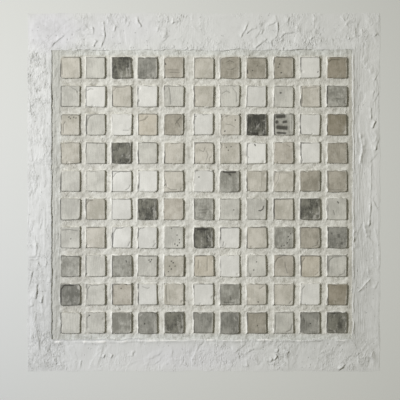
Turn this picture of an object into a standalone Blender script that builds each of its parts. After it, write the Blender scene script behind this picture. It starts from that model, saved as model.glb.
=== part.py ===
"""Textured wall panel: trowelled white plaster round a sunk field of tumbled stone tiles.

The panel is built outwards from its tiles. Tiles and joints give the sunk field, and the plaster
border laid round the field gives the overall size, about 0.80 by 0.81 m.
The flat back lies in the plane y = 0, the tiles face -Y, and the origin is the centre of the back.
"""

import math
import random

import bmesh
import bpy
from mathutils import Matrix, Vector, noise

# Tiles
columns = 11
rows = 10
tile_width = 0.0440
tile_height = 0.0475
tile_thickness = 0.0054
tile_relief = 0.0044
tile_corner_radius = 0.0036
tile_worn_edge = 0.0011
plaster_fillet = 0.0016

# How unevenly the tiles are set by hand
size_spread = 0.0008
place_spread = 0.0006
turn_spread = math.radians(0.9)
tilt_spread = math.radians(0.7)

# Joints between the tiles, from the left and from the top
column_joints = (0.0131, 0.0153, 0.0147, 0.0151, 0.0235, 0.0155, 0.0164, 0.0173, 0.0158, 0.0169)
row_joints = (0.0172, 0.0164, 0.0169, 0.0163, 0.0160, 0.0165, 0.0166, 0.0171, 0.0165)

# Strips of setting plaster between the outer tiles and the edge of the sunk field
strip_left = 0.0192
strip_right = 0.0131
strip_top = 0.0163
strip_bottom = 0.0150

# Plaster border, from the edge of the sunk field to the outline, where it thins out
border_left = 0.0565
border_right = 0.0632
border_top = 0.0845
border_bottom = 0.0722
border_swell = 1.4
outline_thickness = 0.0012
outline_waver = 0.0012
field_drop = 0.0021
field_edge_slope = 0.0006
trowel_relief = 0.0008
trowel_grid = 0.0196

# Depth from the back
web_thickness = 0.0010
bed_under_tile = 0.0008
seat_gap = 0.0003

# Heights above the back that follow
bed_back = web_thickness + seat_gap
tile_back = bed_back + bed_under_tile
tile_face = tile_back + tile_thickness
joint_face = tile_face - tile_relief
border_face = joint_face + field_drop

# Stones: colour and roughness of each finish
stones = {
    "chalk": ((0.77, 0.76, 0.725), 0.75),
    "mist": ((0.58, 0.57, 0.52), 0.78),
    "bone": ((0.555, 0.53, 0.455), 0.80),
    "sand": ((0.51, 0.47, 0.38), 0.80),
    "blush": ((0.54, 0.48, 0.405), 0.80),
    "taupe": ((0.375, 0.34, 0.27), 0.80),
    "umber": ((0.34, 0.31, 0.22), 0.80),
    "ash": ((0.35, 0.35, 0.31), 0.76),
    "pewter": ((0.28, 0.277, 0.245), 0.72),
    "slate": ((0.12, 0.12, 0.10), 0.65),
}
# The dark stones and the brightest ones have set places, as row and column from the top left
dark_places = ((0, 2), (2, 7), (2, 8), (3, 2), (5, 3), (5, 9), (6, 5), (9, 4), (9, 10))
pewter_places = ((0, 3), (8, 0), (9, 3), (9, 5), (9, 6), (9, 9), (6, 10))
chalk_places = ((1, 1), (1, 3), (2, 2), (2, 5), (3, 7), (3, 9), (4, 2), (4, 3), (5, 2), (6, 2), (8, 3))
plaster_white = (0.74, 0.74, 0.71)
plaster_roughness = 0.85


def joint_after(joints, index):
    """Width of the joint after a tile; the run of joints starts again on a longer field."""
    return joints[index % len(joints)]


def tile_starts(first, size, joints, count):
    """Distance from the field's edge to the near side of each tile in a run."""
    starts = [first]
    for index in range(count - 1):
        starts.append(starts[-1] + size + joint_after(joints, index))
    return starts


column_starts = tile_starts(strip_left, tile_width, column_joints, columns)
row_starts = tile_starts(strip_top, tile_height, row_joints, rows)
field_width = column_starts[-1] + tile_width + strip_right
field_height = row_starts[-1] + tile_height + strip_bottom
panel_width = border_left + field_width + border_right
panel_height = border_top + field_height + border_bottom
field_west = border_left - panel_width / 2
field_east = field_west + field_width
field_top = panel_height / 2 - border_top
field_bottom = field_top - field_height


def clear_scene():
    """Empties the file of objects and of the meshes and materials that they leave."""
    for thing in list(bpy.data.objects):
        bpy.data.objects.remove(thing, do_unlink=True)
    for mesh in list(bpy.data.meshes):
        bpy.data.meshes.remove(mesh)
    for material in list(bpy.data.materials):
        bpy.data.materials.remove(material)


def new_collection(name):
    collection = bpy.data.collections.new(name)
    bpy.context.scene.collection.children.link(collection)
    return collection


def plain_material(name, color, roughness):
    material = bpy.data.materials.new(name)
    material.use_nodes = True
    material.diffuse_color = (*color, 1.0)
    shader = material.node_tree.nodes["Principled BSDF"]
    shader.inputs["Base Color"].default_value = (*color, 1.0)
    shader.inputs["Roughness"].default_value = roughness
    shader.inputs["Metallic"].default_value = 0.0
    return material


def object_from(bm, name, collection, materials):
    """Turns a bmesh into an object of the collection, with its faces pointing outwards."""
    bmesh.ops.recalc_face_normals(bm, faces=bm.faces)
    mesh = bpy.data.meshes.new(name)
    bm.to_mesh(mesh)
    bm.free()
    for material in materials:
        mesh.materials.append(material)
    thing = bpy.data.objects.new(name, mesh)
    collection.objects.link(thing)
    return thing


def make_helper(thing):
    """A cutter or a joined-on shape is drawn as wire and never rendered."""
    thing.display_type = "WIRE"
    thing.hide_render = True
    return thing


def block(bm, low, high):
    """A closed box between two corners."""
    low = Vector(low)
    high = Vector(high)
    made = bmesh.ops.create_cube(bm, size=1.0)
    bmesh.ops.scale(bm, vec=high - low, verts=made["verts"])
    bmesh.ops.translate(bm, vec=(low + high) / 2, verts=made["verts"])
    return made["verts"]


def round_edges(bm, edges, radius, segments):
    bmesh.ops.bevel(
        bm, geom=edges, offset=radius, segments=segments, profile=0.5, affect="EDGES", material=-1
    )


def combine(thing, other, operation):
    """Adds or cuts another mesh, keeping the materials of both."""
    boolean = thing.modifiers.new(other.name, "BOOLEAN")
    boolean.operation = operation
    boolean.solver = "EXACT"
    boolean.object = other
    boolean.material_mode = "TRANSFER"


# The trowelled border


def way_in(x, z):
    """Share of the way from the outline, 0, to the sunk field, 1."""
    beside = max(field_west - x, 0.0) / border_left + max(x - field_east, 0.0) / border_right
    above = max(z - field_top, 0.0) / border_top + max(field_bottom - z, 0.0) / border_bottom
    return 1 - min(math.hypot(beside, above), 1.0)


def trowel_marks(x, z):
    """Unevenness left by the trowel: long strokes up the sides, slanting ones above and below."""
    beside_field = not field_west < x < field_east
    turn = math.radians(8 if beside_field else 62)
    along = -x * math.sin(turn) + z * math.cos(turn)
    across = x * math.cos(turn) + z * math.sin(turn)
    broad = noise.noise(Vector((across / 0.045, along / 0.150, 3.7)))
    narrow = noise.noise(Vector((across / 0.022, along / 0.060, 9.1)))
    return broad + 0.6 * narrow


def border_height(x, z):
    """Height of the plaster above the back: thin at the outline, swelling towards the field."""
    share = way_in(x, z)
    height = outline_thickness + (border_face - outline_thickness) * share**border_swell
    return height + trowel_relief * trowel_marks(x, z) * min(2 * share, 1.0)


def make_plaster_panel(collection, helpers, material):
    """The plaster coat: an uneven front sheet closed down to the flat back, with the field cut in."""
    bm = bmesh.new()
    bmesh.ops.create_grid(
        bm,
        x_segments=max(round(panel_width / trowel_grid), 4),
        y_segments=max(round(panel_height / trowel_grid), 4),
        size=0.5,
    )
    bmesh.ops.scale(bm, vec=(panel_width, panel_height, 1.0), verts=bm.verts)
    bmesh.ops.rotate(bm, verts=bm.verts, matrix=Matrix.Rotation(math.radians(90), 3, "X"))
    for vert in bm.verts:
        x, _, z = vert.co
        waver_x = outline_waver * noise.noise(Vector((z / 0.05, x / 0.4, 1.3)))
        waver_z = outline_waver * noise.noise(Vector((x / 0.05, z / 0.4, 5.9)))
        shrink_x = 1 - 2 * outline_waver / panel_width
        shrink_z = 1 - 2 * outline_waver / panel_height
        vert.co = (x * shrink_x + waver_x, -border_height(x, z), z * shrink_z + waver_z)
    rim = [edge for edge in bm.edges if edge.is_boundary]
    skirt = bmesh.ops.extrude_edge_only(bm, edges=rim)["geom"]
    for vert in (part for part in skirt if isinstance(part, bmesh.types.BMVert)):
        vert.co.y = 0.0
    back_rim = [part for part in skirt if isinstance(part, bmesh.types.BMEdge)]
    bmesh.ops.edgeloop_fill(bm, edges=[edge for edge in back_rim if edge.is_boundary])
    panel = object_from(bm, "plaster_panel", collection, [material])

    bm = bmesh.new()
    proud = border_face + 0.02
    spread = field_edge_slope * (proud - web_thickness) / (border_face - web_thickness)
    middle_x = (field_west + field_east) / 2
    middle_z = (field_top + field_bottom) / 2
    low = (field_west, -proud, field_bottom)
    high = (field_east, -web_thickness, field_top)
    for vert in block(bm, low, high):
        if vert.co.y < -border_face:
            vert.co.x += math.copysign(spread, vert.co.x - middle_x)
            vert.co.z += math.copysign(spread, vert.co.z - middle_z)
    cutter = make_helper(object_from(bm, "field_cutter", helpers, []))
    combine(panel, cutter, "DIFFERENCE")
    return panel


# The rows of tiles


def finish_of(row, column, dice):
    """Which stone a tile is: some have set places, the rest are drawn by the part of the field."""
    if (row, column) in dark_places:
        return "slate"
    if (row, column) in pewter_places:
        return "pewter"
    if (row, column) in chalk_places:
        return "chalk"
    if row == rows - 1:
        choices = ("ash", "pewter", "taupe", "bone")
    elif column == 0:
        choices = ("mist", "bone", "ash")
    elif column == columns - 1:
        choices = ("taupe", "umber", "ash")
    else:
        choices = ("mist", "bone", "sand", "blush", "mist", "bone", "taupe")
    return dice.choice(choices)


def add_tile(row_bm, middle_x, middle_z, dice, stone_index):
    """One stone: rounded corners, a worn front edge, and a foot that the setting plaster flares out."""
    width = tile_width + dice.uniform(-size_spread, size_spread)
    height = tile_height + dice.uniform(-size_spread, size_spread)
    tile = bmesh.new()
    block(tile, (-width / 2, -tile_face, -height / 2), (width / 2, -tile_back, height / 2))
    middle_y = -(tile_face + tile_back) / 2
    corners = [edge for edge in tile.edges if len({vert.co.y < middle_y for vert in edge.verts}) == 2]
    round_edges(tile, corners, min(tile_corner_radius, 0.45 * min(width, height)), 2)
    front_rim = [edge for edge in tile.edges if all(vert.co.y < middle_y for vert in edge.verts)]
    round_edges(tile, front_rim, min(tile_worn_edge, tile_relief / 2), 1)
    for vert in tile.verts:
        if vert.co.y > middle_y:
            vert.co.x *= 1 + 2 * plaster_fillet / width
            vert.co.z *= 1 + 2 * plaster_fillet / height
    face_middle = Vector((0.0, -tile_face, 0.0))
    for axis, spread in (("Y", turn_spread), ("X", tilt_spread), ("Z", tilt_spread)):
        turn = Matrix.Rotation(dice.uniform(-spread, spread), 3, axis)
        bmesh.ops.rotate(tile, cent=face_middle, matrix=turn, verts=tile.verts)
    middle_x += dice.uniform(-place_spread, place_spread)
    middle_z += dice.uniform(-place_spread, place_spread)
    bmesh.ops.translate(tile, vec=(middle_x, 0.0, middle_z), verts=tile.verts)
    for face in tile.faces:
        face.material_index = stone_index
    mesh = bpy.data.meshes.new("tile")
    tile.to_mesh(mesh)
    tile.free()
    row_bm.from_mesh(mesh)
    bpy.data.meshes.remove(mesh)


def make_tile_row(row, collection, helpers, bed_material, stone_materials):
    """One course: its run of setting plaster across the field, with its tiles pressed into it."""
    top = 0.0 if row == 0 else row_starts[row] - joint_after(row_joints, row - 1) / 2
    last = row == rows - 1
    bottom = field_height if last else row_starts[row] + tile_height + joint_after(row_joints, row) / 2
    top_gap = seat_gap if row == 0 else seat_gap / 2
    bottom_gap = seat_gap if last else seat_gap / 2
    name = f"tile_row_{row + 1:02d}"

    bed = bmesh.new()
    block(
        bed,
        (field_west + seat_gap, -joint_face, field_top - bottom + bottom_gap),
        (field_east - seat_gap, -bed_back, field_top - top - top_gap),
    )
    course = object_from(bed, name, collection, [bed_material])

    stones_bm = bmesh.new()
    finishes = list(stones)
    for column in range(columns):
        dice = random.Random(100 * row + column)
        finish = finish_of(row, column, random.Random(7000 + 100 * row + column))
        middle_x = field_west + column_starts[column] + tile_width / 2
        middle_z = field_top - row_starts[row] - tile_height / 2
        add_tile(stones_bm, middle_x, middle_z, dice, finishes.index(finish))
    set_stones = make_helper(object_from(stones_bm, f"{name}_stones", helpers, stone_materials))
    combine(course, set_stones, "UNION")
    return course


def main():
    clear_scene()
    collection = new_collection("textured_wall_panel")
    helpers = new_collection("helpers")
    helpers.hide_render = True
    plaster = plain_material("trowelled_plaster", plaster_white, plaster_roughness)
    bed_plaster = plain_material("setting_plaster", plaster_white, plaster_roughness)
    stone_materials = [plain_material(name, *finish) for name, finish in stones.items()]
    make_plaster_panel(collection, helpers, plaster)
    for row in range(rows):
        make_tile_row(row, collection, helpers, bed_plaster, stone_materials)


main()
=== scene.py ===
import math
import random

import bmesh
import bpy
import numpy as np
from mathutils import Matrix, Vector, noise


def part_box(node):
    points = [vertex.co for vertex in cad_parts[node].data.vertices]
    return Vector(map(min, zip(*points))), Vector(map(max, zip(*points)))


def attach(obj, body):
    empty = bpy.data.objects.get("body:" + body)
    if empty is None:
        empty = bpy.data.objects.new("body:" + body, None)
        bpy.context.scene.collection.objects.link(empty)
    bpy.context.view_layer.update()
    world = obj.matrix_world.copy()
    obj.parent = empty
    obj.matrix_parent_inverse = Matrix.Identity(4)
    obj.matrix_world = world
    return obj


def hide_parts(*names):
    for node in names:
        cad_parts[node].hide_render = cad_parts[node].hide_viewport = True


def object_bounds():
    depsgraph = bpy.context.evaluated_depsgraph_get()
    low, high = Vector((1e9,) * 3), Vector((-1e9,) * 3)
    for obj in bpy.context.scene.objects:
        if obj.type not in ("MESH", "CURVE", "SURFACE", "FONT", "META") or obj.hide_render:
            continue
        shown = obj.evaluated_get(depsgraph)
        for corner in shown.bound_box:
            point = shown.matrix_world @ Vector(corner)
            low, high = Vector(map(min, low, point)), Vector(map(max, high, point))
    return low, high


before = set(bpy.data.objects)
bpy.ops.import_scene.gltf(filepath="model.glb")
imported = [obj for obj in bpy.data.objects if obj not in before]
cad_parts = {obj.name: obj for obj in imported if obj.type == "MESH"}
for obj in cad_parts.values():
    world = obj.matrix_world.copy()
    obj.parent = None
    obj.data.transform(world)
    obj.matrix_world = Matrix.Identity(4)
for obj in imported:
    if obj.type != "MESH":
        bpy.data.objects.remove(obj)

# The textured wall panel: a near-square coat of white trowelled plaster with a sunk field, and
# in the field ten courses of tumbled stones pressed by hand into soft plaster.
# Sizes are in metres. The wall is the plane y = 0 and every face looks towards -Y.
cad_low, cad_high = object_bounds()


# The plaster coat. White gypsum plaster laid on in overlapping passes of the trowel, thin at its
# outline and swelling towards the sunk field. The field was pressed in while the coat was soft,
# which left a burr of plaster standing along its edge.
mm = 0.001
seat_gap = 0.0003
course_nodes = sorted(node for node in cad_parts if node.startswith("tile_row"))
coat_low, coat_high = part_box("plaster_panel")
field_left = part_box(course_nodes[0])[0].x - seat_gap
field_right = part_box(course_nodes[0])[1].x + seat_gap
field_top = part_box(course_nodes[0])[1].z + seat_gap
field_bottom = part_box(course_nodes[-1])[0].z - seat_gap
coat_spacing = 0.00152
coat_at_outline = 0.00025
height_at_left = 0.0041
height_at_right = 0.0053
height_at_top = 0.0041
height_at_bottom = 0.0053
coat_swell = 2.2
left_swell = 0.80
web_face = 0.0010
crease_depth = 0.00030
crease_share = 0.6
trowel_passes = 200
trowel_nicks = 300
corner_dabs = 1700
ledge_scale = 2.7
ledge_drop = 0.0014
hole_depth = 0.0018
hole_reach = 0.0016

# Ledges and creases that the trowel's edge left: the way the sharp side faces, the height, and
# the points of the line, in millimetres from the panel's middle.
trowel_ledges = (
    ("right", 0.9, (-229, 390), (-225, 367), (-224, 355), (-232, 327)),
    ("right", 1.3, (-252, 375), (-251, 357)),
    ("right", 0.8, (-242, 343), (-251, 328)),
    ("right", 0.7, (-316, 358), (-331, 346), (-339, 338), (-346, 326)),
    ("right", 0.4, (-270, 381), (-259, 368)),
    ("right", 0.7, (-199, 378), (-203, 364)),
    ("right", 1.0, (-151, 398), (-149, 385), (-141, 374)),
    ("right", 0.5, (-102, 374), (-105, 364)),
    ("right", 0.8, (-86, 373), (-84, 355)),
    ("right", 0.7, (-95, 349), (-82, 354)),
    ("right", 0.6, (-74, 381), (-66, 387), (-52, 389)),
    ("left", 0.4, (-35, 381), (-24, 372), (-13, 360)),
    ("right", 1.0, (-69, 332), (-66, 328)),
    ("right", 1.0, (-38, 329), (-36, 324)),
    ("right", 0.7, (103, 388), (96, 370), (84, 349)),
    ("right", 1.0, (121, 372), (109, 370), (98, 359)),
    ("right", 0.6, (134, 373), (130, 358)),
    ("right", 0.9, (143, 349), (127, 335), (115, 325)),
    ("right", 0.7, (166, 352), (158, 347), (150, 339)),
    ("right", 0.5, (180, 345), (165, 340)),
    ("right", 0.6, (163, 404), (165, 388), (145, 377)),
    ("right", 0.9, (193, 397), (191, 381)),
    ("right", 1.0, (168, 389), (168, 368), (167, 352)),
    ("right", 0.7, (172, 348), (184, 360), (200, 363), (222, 366)),
    ("left", 1.0, (248, 405), (250, 391), (248, 374)),
    ("right", 0.6, (240, 345), (250, 354), (257, 353), (269, 347)),
    ("left", 0.6, (243, 341), (256, 344), (268, 342)),
    ("left", 0.9, (308, 398), (323, 385), (324, 375)),
    ("left", 0.8, (323, 361), (319, 350)),
    ("right", 0.7, (328, 358), (330, 346)),
    ("left", 0.6, (341, 366), (340, 350)),
    ("left", 0.6, (357, 368), (358, 352)),
    ("left", 0.6, (371, 360), (368, 347)),
    ("left", 0.9, (394, 402), (395, 372)),
    ("right", 0.8, (386, 353), (396, 360)),
    ("right", 0.8, (-393, 100), (-388, 70)),
    ("right", 0.5, (-392, 3), (-396, -8)),
    ("right", 0.5, (-399, -146), (-369, -144)),
    ("right", 1.2, (-389, -178), (-396, -214)),
    ("right", 1.5, (-378, -206), (-382, -244)),
    ("right", 1.1, (-364, -233), (-369, -251)),
    ("right", 0.9, (-399, -260), (-385, -257)),
    ("left", 0.7, (-378, -267), (-389, -301)),
    ("left", 0.7, (354, 300), (368, 285), (381, 266)),
    ("right", 1.0, (396, 271), (387, 253)),
    ("right", 0.5, (385, 231), (381, 210)),
    ("right", 1.0, (398, 228), (385, 206)),
    ("right", 0.9, (380, 193), (379, 164)),
    ("right", 1.0, (391, 161), (382, 144)),
    ("left", 0.5, (382, 140), (391, 128), (384, 112)),
    ("right", 1.2, (397, 126), (392, 108), (388, 93)),
    ("left", 1.2, (353, 136), (359, 97), (351, 61)),
    ("right", 0.7, (393, 89), (376, 69)),
    ("left", 0.5, (344, 113), (343, 84)),
    ("right", 0.5, (380, 66), (379, 22), (379, -12)),
    ("right", 0.9, (379, -8), (377, -39), (373, -84)),
    ("right", 0.6, (383, -16), (396, -43)),
    ("left", 1.0, (361, -68), (365, -84), (370, -103)),
    ("left", 0.9, (341, -83), (338, -110), (343, -131)),
    ("right", 0.5, (-277, -380), (-279, -395), (-281, -403)),
    ("right", 0.9, (-224, -368), (-227, -378)),
    ("right", 0.9, (-206, -368), (-211, -377)),
    ("right", 0.8, (-156, -360), (-161, -364), (-161, -371)),
    ("right", 0.5, (-319, -394), (-319, -403)),
    ("right", 0.5, (96, -342), (68, -365)),
    ("right", 2.2, (320, -390), (305, -404)),
    ("left", 0.8, (348, -372), (349, -391)),
    ("left", 0.8, (382, -360), (374, -376)),
    ("right", 1.0, (191, -361), (187, -375)),
    ("right", 0.8, (168, -354), (166, -363)),
    ("right", 1.1, (167, -369), (160, -381)),
    ("right", 0.9, (157, -377), (152, -387)),
    ("right", 0.5, (98, -378), (99, -395)),
    ("left", 0.5, (112, -377), (122, -393)),
    ("left", 0.8, (185, -384), (163, -403)),
    ("right", 0.4, (-69, 398), (-69, 382)),
    ("right", 0.4, (-175, 396), (-183, 389)),
    ("right", 0.4, (-283, 336), (-291, 328)),
    ("right", 0.5, (-238, -341), (-239, -346)),
    ("right", 0.3, (-72, -350), (-72, -382)),
    ("right", 0.6, (-39, -388), (-41, -393)),
    ("right", 0.9, (-380, -115), (-380, -144)),
    ("right", 0.5, (-399, -153), (-374, -152)),
    ("right", 0.9, (-374, -158), (-371, -172)),
    ("right", 0.8, (-354, -158), (-358, -171)),
    ("right", 0.8, (-347, -196), (-347, -205)),
    ("right", 0.4, (-366, -58), (-370, -84)),
    ("right", 0.4, (-388, -66), (-390, -90)),
    ("left", 1.2, (380, -192), (358, -215), (349, -225)),
    ("left", 0.8, (395, -140), (396, -175)),
    ("right", 0.8, (395, -203), (388, -220)),
    ("left", 0.7, (372, -167), (373, -187)),
)
# Where the plaster was dabbed and left gritty: middle and half-sizes in millimetres, and how much.
gritty_places = (
    (-379, 250, 24, 70, 1.0),
    (-368, -352, 45, 45, 0.45),
    (30, -372, 100, 30, 0.45),
    (300, -375, 80, 30, 0.35),
    (166, -376, 26, 20, 0.8),
    (225, 331, 110, 9, 0.55),
    (200, 372, 30, 20, 0.35),
    (350, 356, 34, 18, 0.30),
    (-75, 393, 30, 16, 0.7),
)
smooth_places = (
    (-355, 375, 50, 38, 0.9), (-150, 360, 35, 25, 0.8), (-45, 360, 40, 25, 0.7), (50, 370, 45, 35, 0.8),
    (240, -375, 35, 26, 0.8), (335, -350, 30, 22, 0.4), (-175, -350, 40, 14, 0.8),
    (-70, -352, 60, 14, 0.8), (375, -250, 30, 60, 0.7), (285, 388, 30, 20, 0.8), (392, 34, 9, 50, 0.95),
    (362, 12, 24, 40, 0.5),
)
air_holes = (
    (-333, 355), (-297, 357), (-308, 346), (-270, 346), (-381, 160), (-352, 155), (-361, 61),
    (310, -348), (282, -344),
)


def upright_grid(columns, rows, wide=1.0, tall=1.0):
    """A flat grid that faces -Y, to be worked into relief."""
    bm = bmesh.new()
    bmesh.ops.create_grid(bm, x_segments=columns, y_segments=rows, size=0.5)
    bmesh.ops.scale(bm, vec=(wide, tall, 1.0), verts=bm.verts)
    bmesh.ops.rotate(bm, matrix=Matrix.Rotation(math.radians(90.0), 3, "X"), verts=bm.verts)
    return bm


def waves(x, z, wide, tall, seed):
    """Smooth noise over the wall, about -0.5 to 0.5, in waves this wide and this tall."""
    return np.array([noise.noise((a / wide, b / tall, seed)) for a, b in zip(x, z)])


def eased(value, start, end):
    """0 up to start and 1 past end, along a smooth curve."""
    share = np.clip((value - start) / (end - start), 0.0, 1.0)
    return share * share * (3 - 2 * share)


def fading(distance, reach):
    """1 at no distance, and ever less further off."""
    return np.exp(-distance / reach)


def crest_of(value, at, half_width):
    """A rounded crest, 1 high where the value is at its place."""
    return np.exp(-(((value - at) / half_width) ** 2))


def turned(x, z, turn):
    """Offsets across and along something that is turned in the wall's plane."""
    return x * math.cos(turn) + z * math.sin(turn), z * math.cos(turn) - x * math.sin(turn)


def patch_of(x, z, middle_x, middle_z, half_x, half_z):
    """1 inside an oval patch, fading to 0 round it."""
    return eased(1.5 - np.hypot((x - middle_x) / half_x, (z - middle_z) / half_z), 0.0, 1.0)


def from_line(x, z, points):
    """Distance to a line of points, which side of it (positive to its right), and how far along."""
    nearest = np.full(len(x), 1.0)
    beyond = np.zeros(len(x))
    run_at = np.zeros(len(x))
    run = 0.0
    for (start_x, start_z), (end_x, end_z) in zip(points, points[1:]):
        step_x = end_x - start_x
        step_z = end_z - start_z
        length = math.hypot(step_x, step_z)
        share = np.clip(((x - start_x) * step_x + (z - start_z) * step_z) / length**2, 0.0, 1.0)
        away_x = x - start_x - share * step_x
        away_z = z - start_z - share * step_z
        distance = np.hypot(away_x, away_z)
        normal_x, normal_z = step_z / length, -step_x / length
        if normal_x - 0.5 * normal_z < 0:
            normal_x, normal_z = -normal_x, -normal_z
        closer = distance < nearest
        side = np.where(away_x * normal_x + away_z * normal_z > 0, distance, -distance)
        nearest = np.where(closer, distance, nearest)
        beyond = np.where(closer, side, beyond)
        run_at = np.where(closer, run + share * length, run_at)
        run += length
    return nearest, beyond, np.minimum(run_at, run - run_at) / run


def ledge(x, z, points, falls_right, gentle, sharp):
    """The share of a ledge's height: it rises gently to its line and drops sharply beyond."""
    _, beyond, from_end = from_line(x, z, points)
    beyond = beyond if falls_right else -beyond
    rise = np.where(beyond < 0, np.exp(beyond / gentle), np.clip(1 - beyond / sharp, 0, 1))
    return rise * eased(from_end, -0.02, 0.13)


def give_relief(bm, depth, grit, drawn, grey_and_painted_shade):
    """Lifts each point off the wall, and notes how gritty and drawn the plaster is there, and how grey:
    painted shade in its hollows, with the grey and painted shade that are given.
    """
    grit_of = bm.verts.layers.float.new("grit")
    drawn_of = bm.verts.layers.float.new("drawn")
    crease_of = bm.verts.layers.float.new("crease")
    bm.verts.index_update()
    for index, vert in enumerate(bm.verts):
        round_it = [depth[edge.other_vert(vert).index] for edge in vert.link_edges]
        hollow = sum(round_it) / len(round_it) - depth[index]
        vert.co.y = -depth[index]
        vert[grit_of] = grit[index]
        vert[drawn_of] = drawn[index]
        # Painted shade: the further a point lies below the points round it, the greyer it is painted.
        vert[crease_of] = min(max(hollow / crease_depth, 0.0), 1.0) * crease_share + grey_and_painted_shade[index]


def note(verts, layer, amounts):
    """Keeps an amount at each point, for the material to read."""
    for vert, amount in zip(verts, amounts):
        vert[layer] = amount


def split_rim(bm, margin):
    """The open edges beyond the sunk field and a margin, and those within them."""
    beyond = []
    within = []
    for edge in (edge for edge in bm.edges if edge.is_boundary):
        at = (edge.verts[0].co + edge.verts[1].co) / 2
        in_field = field_left - margin < at.x < field_right + margin
        in_field = in_field and field_bottom - margin < at.z < field_top + margin
        (within if in_field else beyond).append(edge)
    return beyond, within


def close_behind(bm, rim, depth):
    """Carries an open rim straight back to a depth, leaves it sharp and fills it there."""
    for face in bm.faces:
        face.smooth = True
    for edge in rim:
        edge.smooth = False
    skirt = bmesh.ops.extrude_edge_only(bm, edges=rim)["geom"]
    for part in skirt:
        if isinstance(part, bmesh.types.BMVert):
            part.co.y = -depth
    back = [part for part in skirt if isinstance(part, bmesh.types.BMEdge) and part.is_boundary]
    bmesh.ops.edgeloop_fill(bm, edges=back)


def piece_of(name, bm, materials, nodes):
    """Makes the object of a worked mesh and hands it to the frame in place of its solids."""
    mesh = bpy.data.meshes.new(name)
    bm.to_mesh(mesh)
    bm.free()
    for material in materials:
        mesh.materials.append(material)
    piece = bpy.data.objects.new(name, mesh)
    bpy.context.scene.collection.objects.link(piece)
    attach(piece, "root")
    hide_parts(*nodes)
    return piece


def place_on_border(dice, share_level):
    """A place on the border by lot: whether it is above or below the field, and its x and z."""
    level = dice.random() < share_level
    if level:
        place_x = dice.uniform(coat_low.x, coat_high.x)
        place_z = dice.uniform(*dice.choice(((field_top, coat_high.z), (coat_low.z, field_bottom))))
    else:
        place_x = dice.uniform(*dice.choice(((coat_low.x, field_left), (field_right, coat_high.x))))
        place_z = dice.uniform(coat_low.z, coat_high.z)
    return level, place_x, place_z


coat_wide = coat_high.x - coat_low.x
coat_tall = coat_high.z - coat_low.z
coat = upright_grid(round(coat_wide / coat_spacing), round(coat_tall / coat_spacing), coat_wide, coat_tall)
coat_middle = ((coat_low.x + coat_high.x) / 2, 0.0, (coat_low.z + coat_high.z) / 2)
bmesh.ops.translate(coat, vec=coat_middle, verts=coat.verts)
for vert in coat.verts:
    for side in (field_left, field_right):
        if abs(vert.co.x - side) < coat_spacing / 2:
            vert.co.x = side
    for side in (field_bottom, field_top):
        if abs(vert.co.z - side) < coat_spacing / 2:
            vert.co.z = side
sunk = []
for face in coat.faces:
    middle = face.calc_center_bounds()
    if field_left < middle.x < field_right and field_bottom < middle.z < field_top:
        sunk.append(face)
bmesh.ops.delete(coat, geom=sunk, context="FACES")

x = np.array([vert.co.x for vert in coat.verts])
z = np.array([vert.co.z for vert in coat.verts])
left_of = np.maximum(field_left - x, 0.0)
right_of = np.maximum(x - field_right, 0.0)
above = np.maximum(z - field_top, 0.0)
below = np.maximum(field_bottom - z, 0.0)
beside = left_of / (field_left - coat_low.x) + right_of / (coat_high.x - field_right)
over = above / (coat_high.z - field_top) + below / (field_bottom - coat_low.z)
way_in = 1 - np.minimum((beside**5 + over**5) ** 0.2, 1.0)
from_outline = np.minimum.reduce([x - coat_low.x, coat_high.x - x, z - coat_low.z, coat_high.z - z])
to_field = np.hypot(left_of + right_of, above + below)
all_sides = np.maximum(left_of + right_of + above + below, 1e-6)
on_left = left_of / all_sides
on_right = right_of / all_sides
underneath = below / all_sides

grit = 0.13 + 0.7 * eased(waves(x, z, 0.034, 0.040, 7.7), 0.05, 0.28)
grit = grit * (1 - 0.65 * on_right - 0.30 * underneath - 0.15 * on_left - 0.10 * above / all_sides)
grit = grit + 0.4 * fading(to_field, 0.006)
ragged_x = x + 0.030 * waves(x, z, 0.024, 0.024, 5.1)
ragged_z = z + 0.030 * waves(x, z, 0.024, 0.024, 6.4)
crumbly = np.zeros(len(x))
for middle_x, middle_z, half_x, half_z, amount in gritty_places:
    patch = patch_of(ragged_x, ragged_z, middle_x * mm, middle_z * mm, half_x * mm, half_z * mm)
    crumbly = crumbly + amount * patch
crumbly = crumbly * (0.35 + 1.1 * eased(waves(x, z, 0.011, 0.015, 3.2), -0.22, 0.22))
grit = grit + 0.30 * crumbly
calm = np.ones(len(x))
for middle_x, middle_z, half_x, half_z, amount in smooth_places:
    calm = calm * (1 - amount * patch_of(x, z, middle_x * mm, middle_z * mm, half_x * mm, half_z * mm))
grit = np.clip(grit * calm, 0.03, 1.4)
crumbs = grit + 1.4 * crumbly * calm

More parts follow.
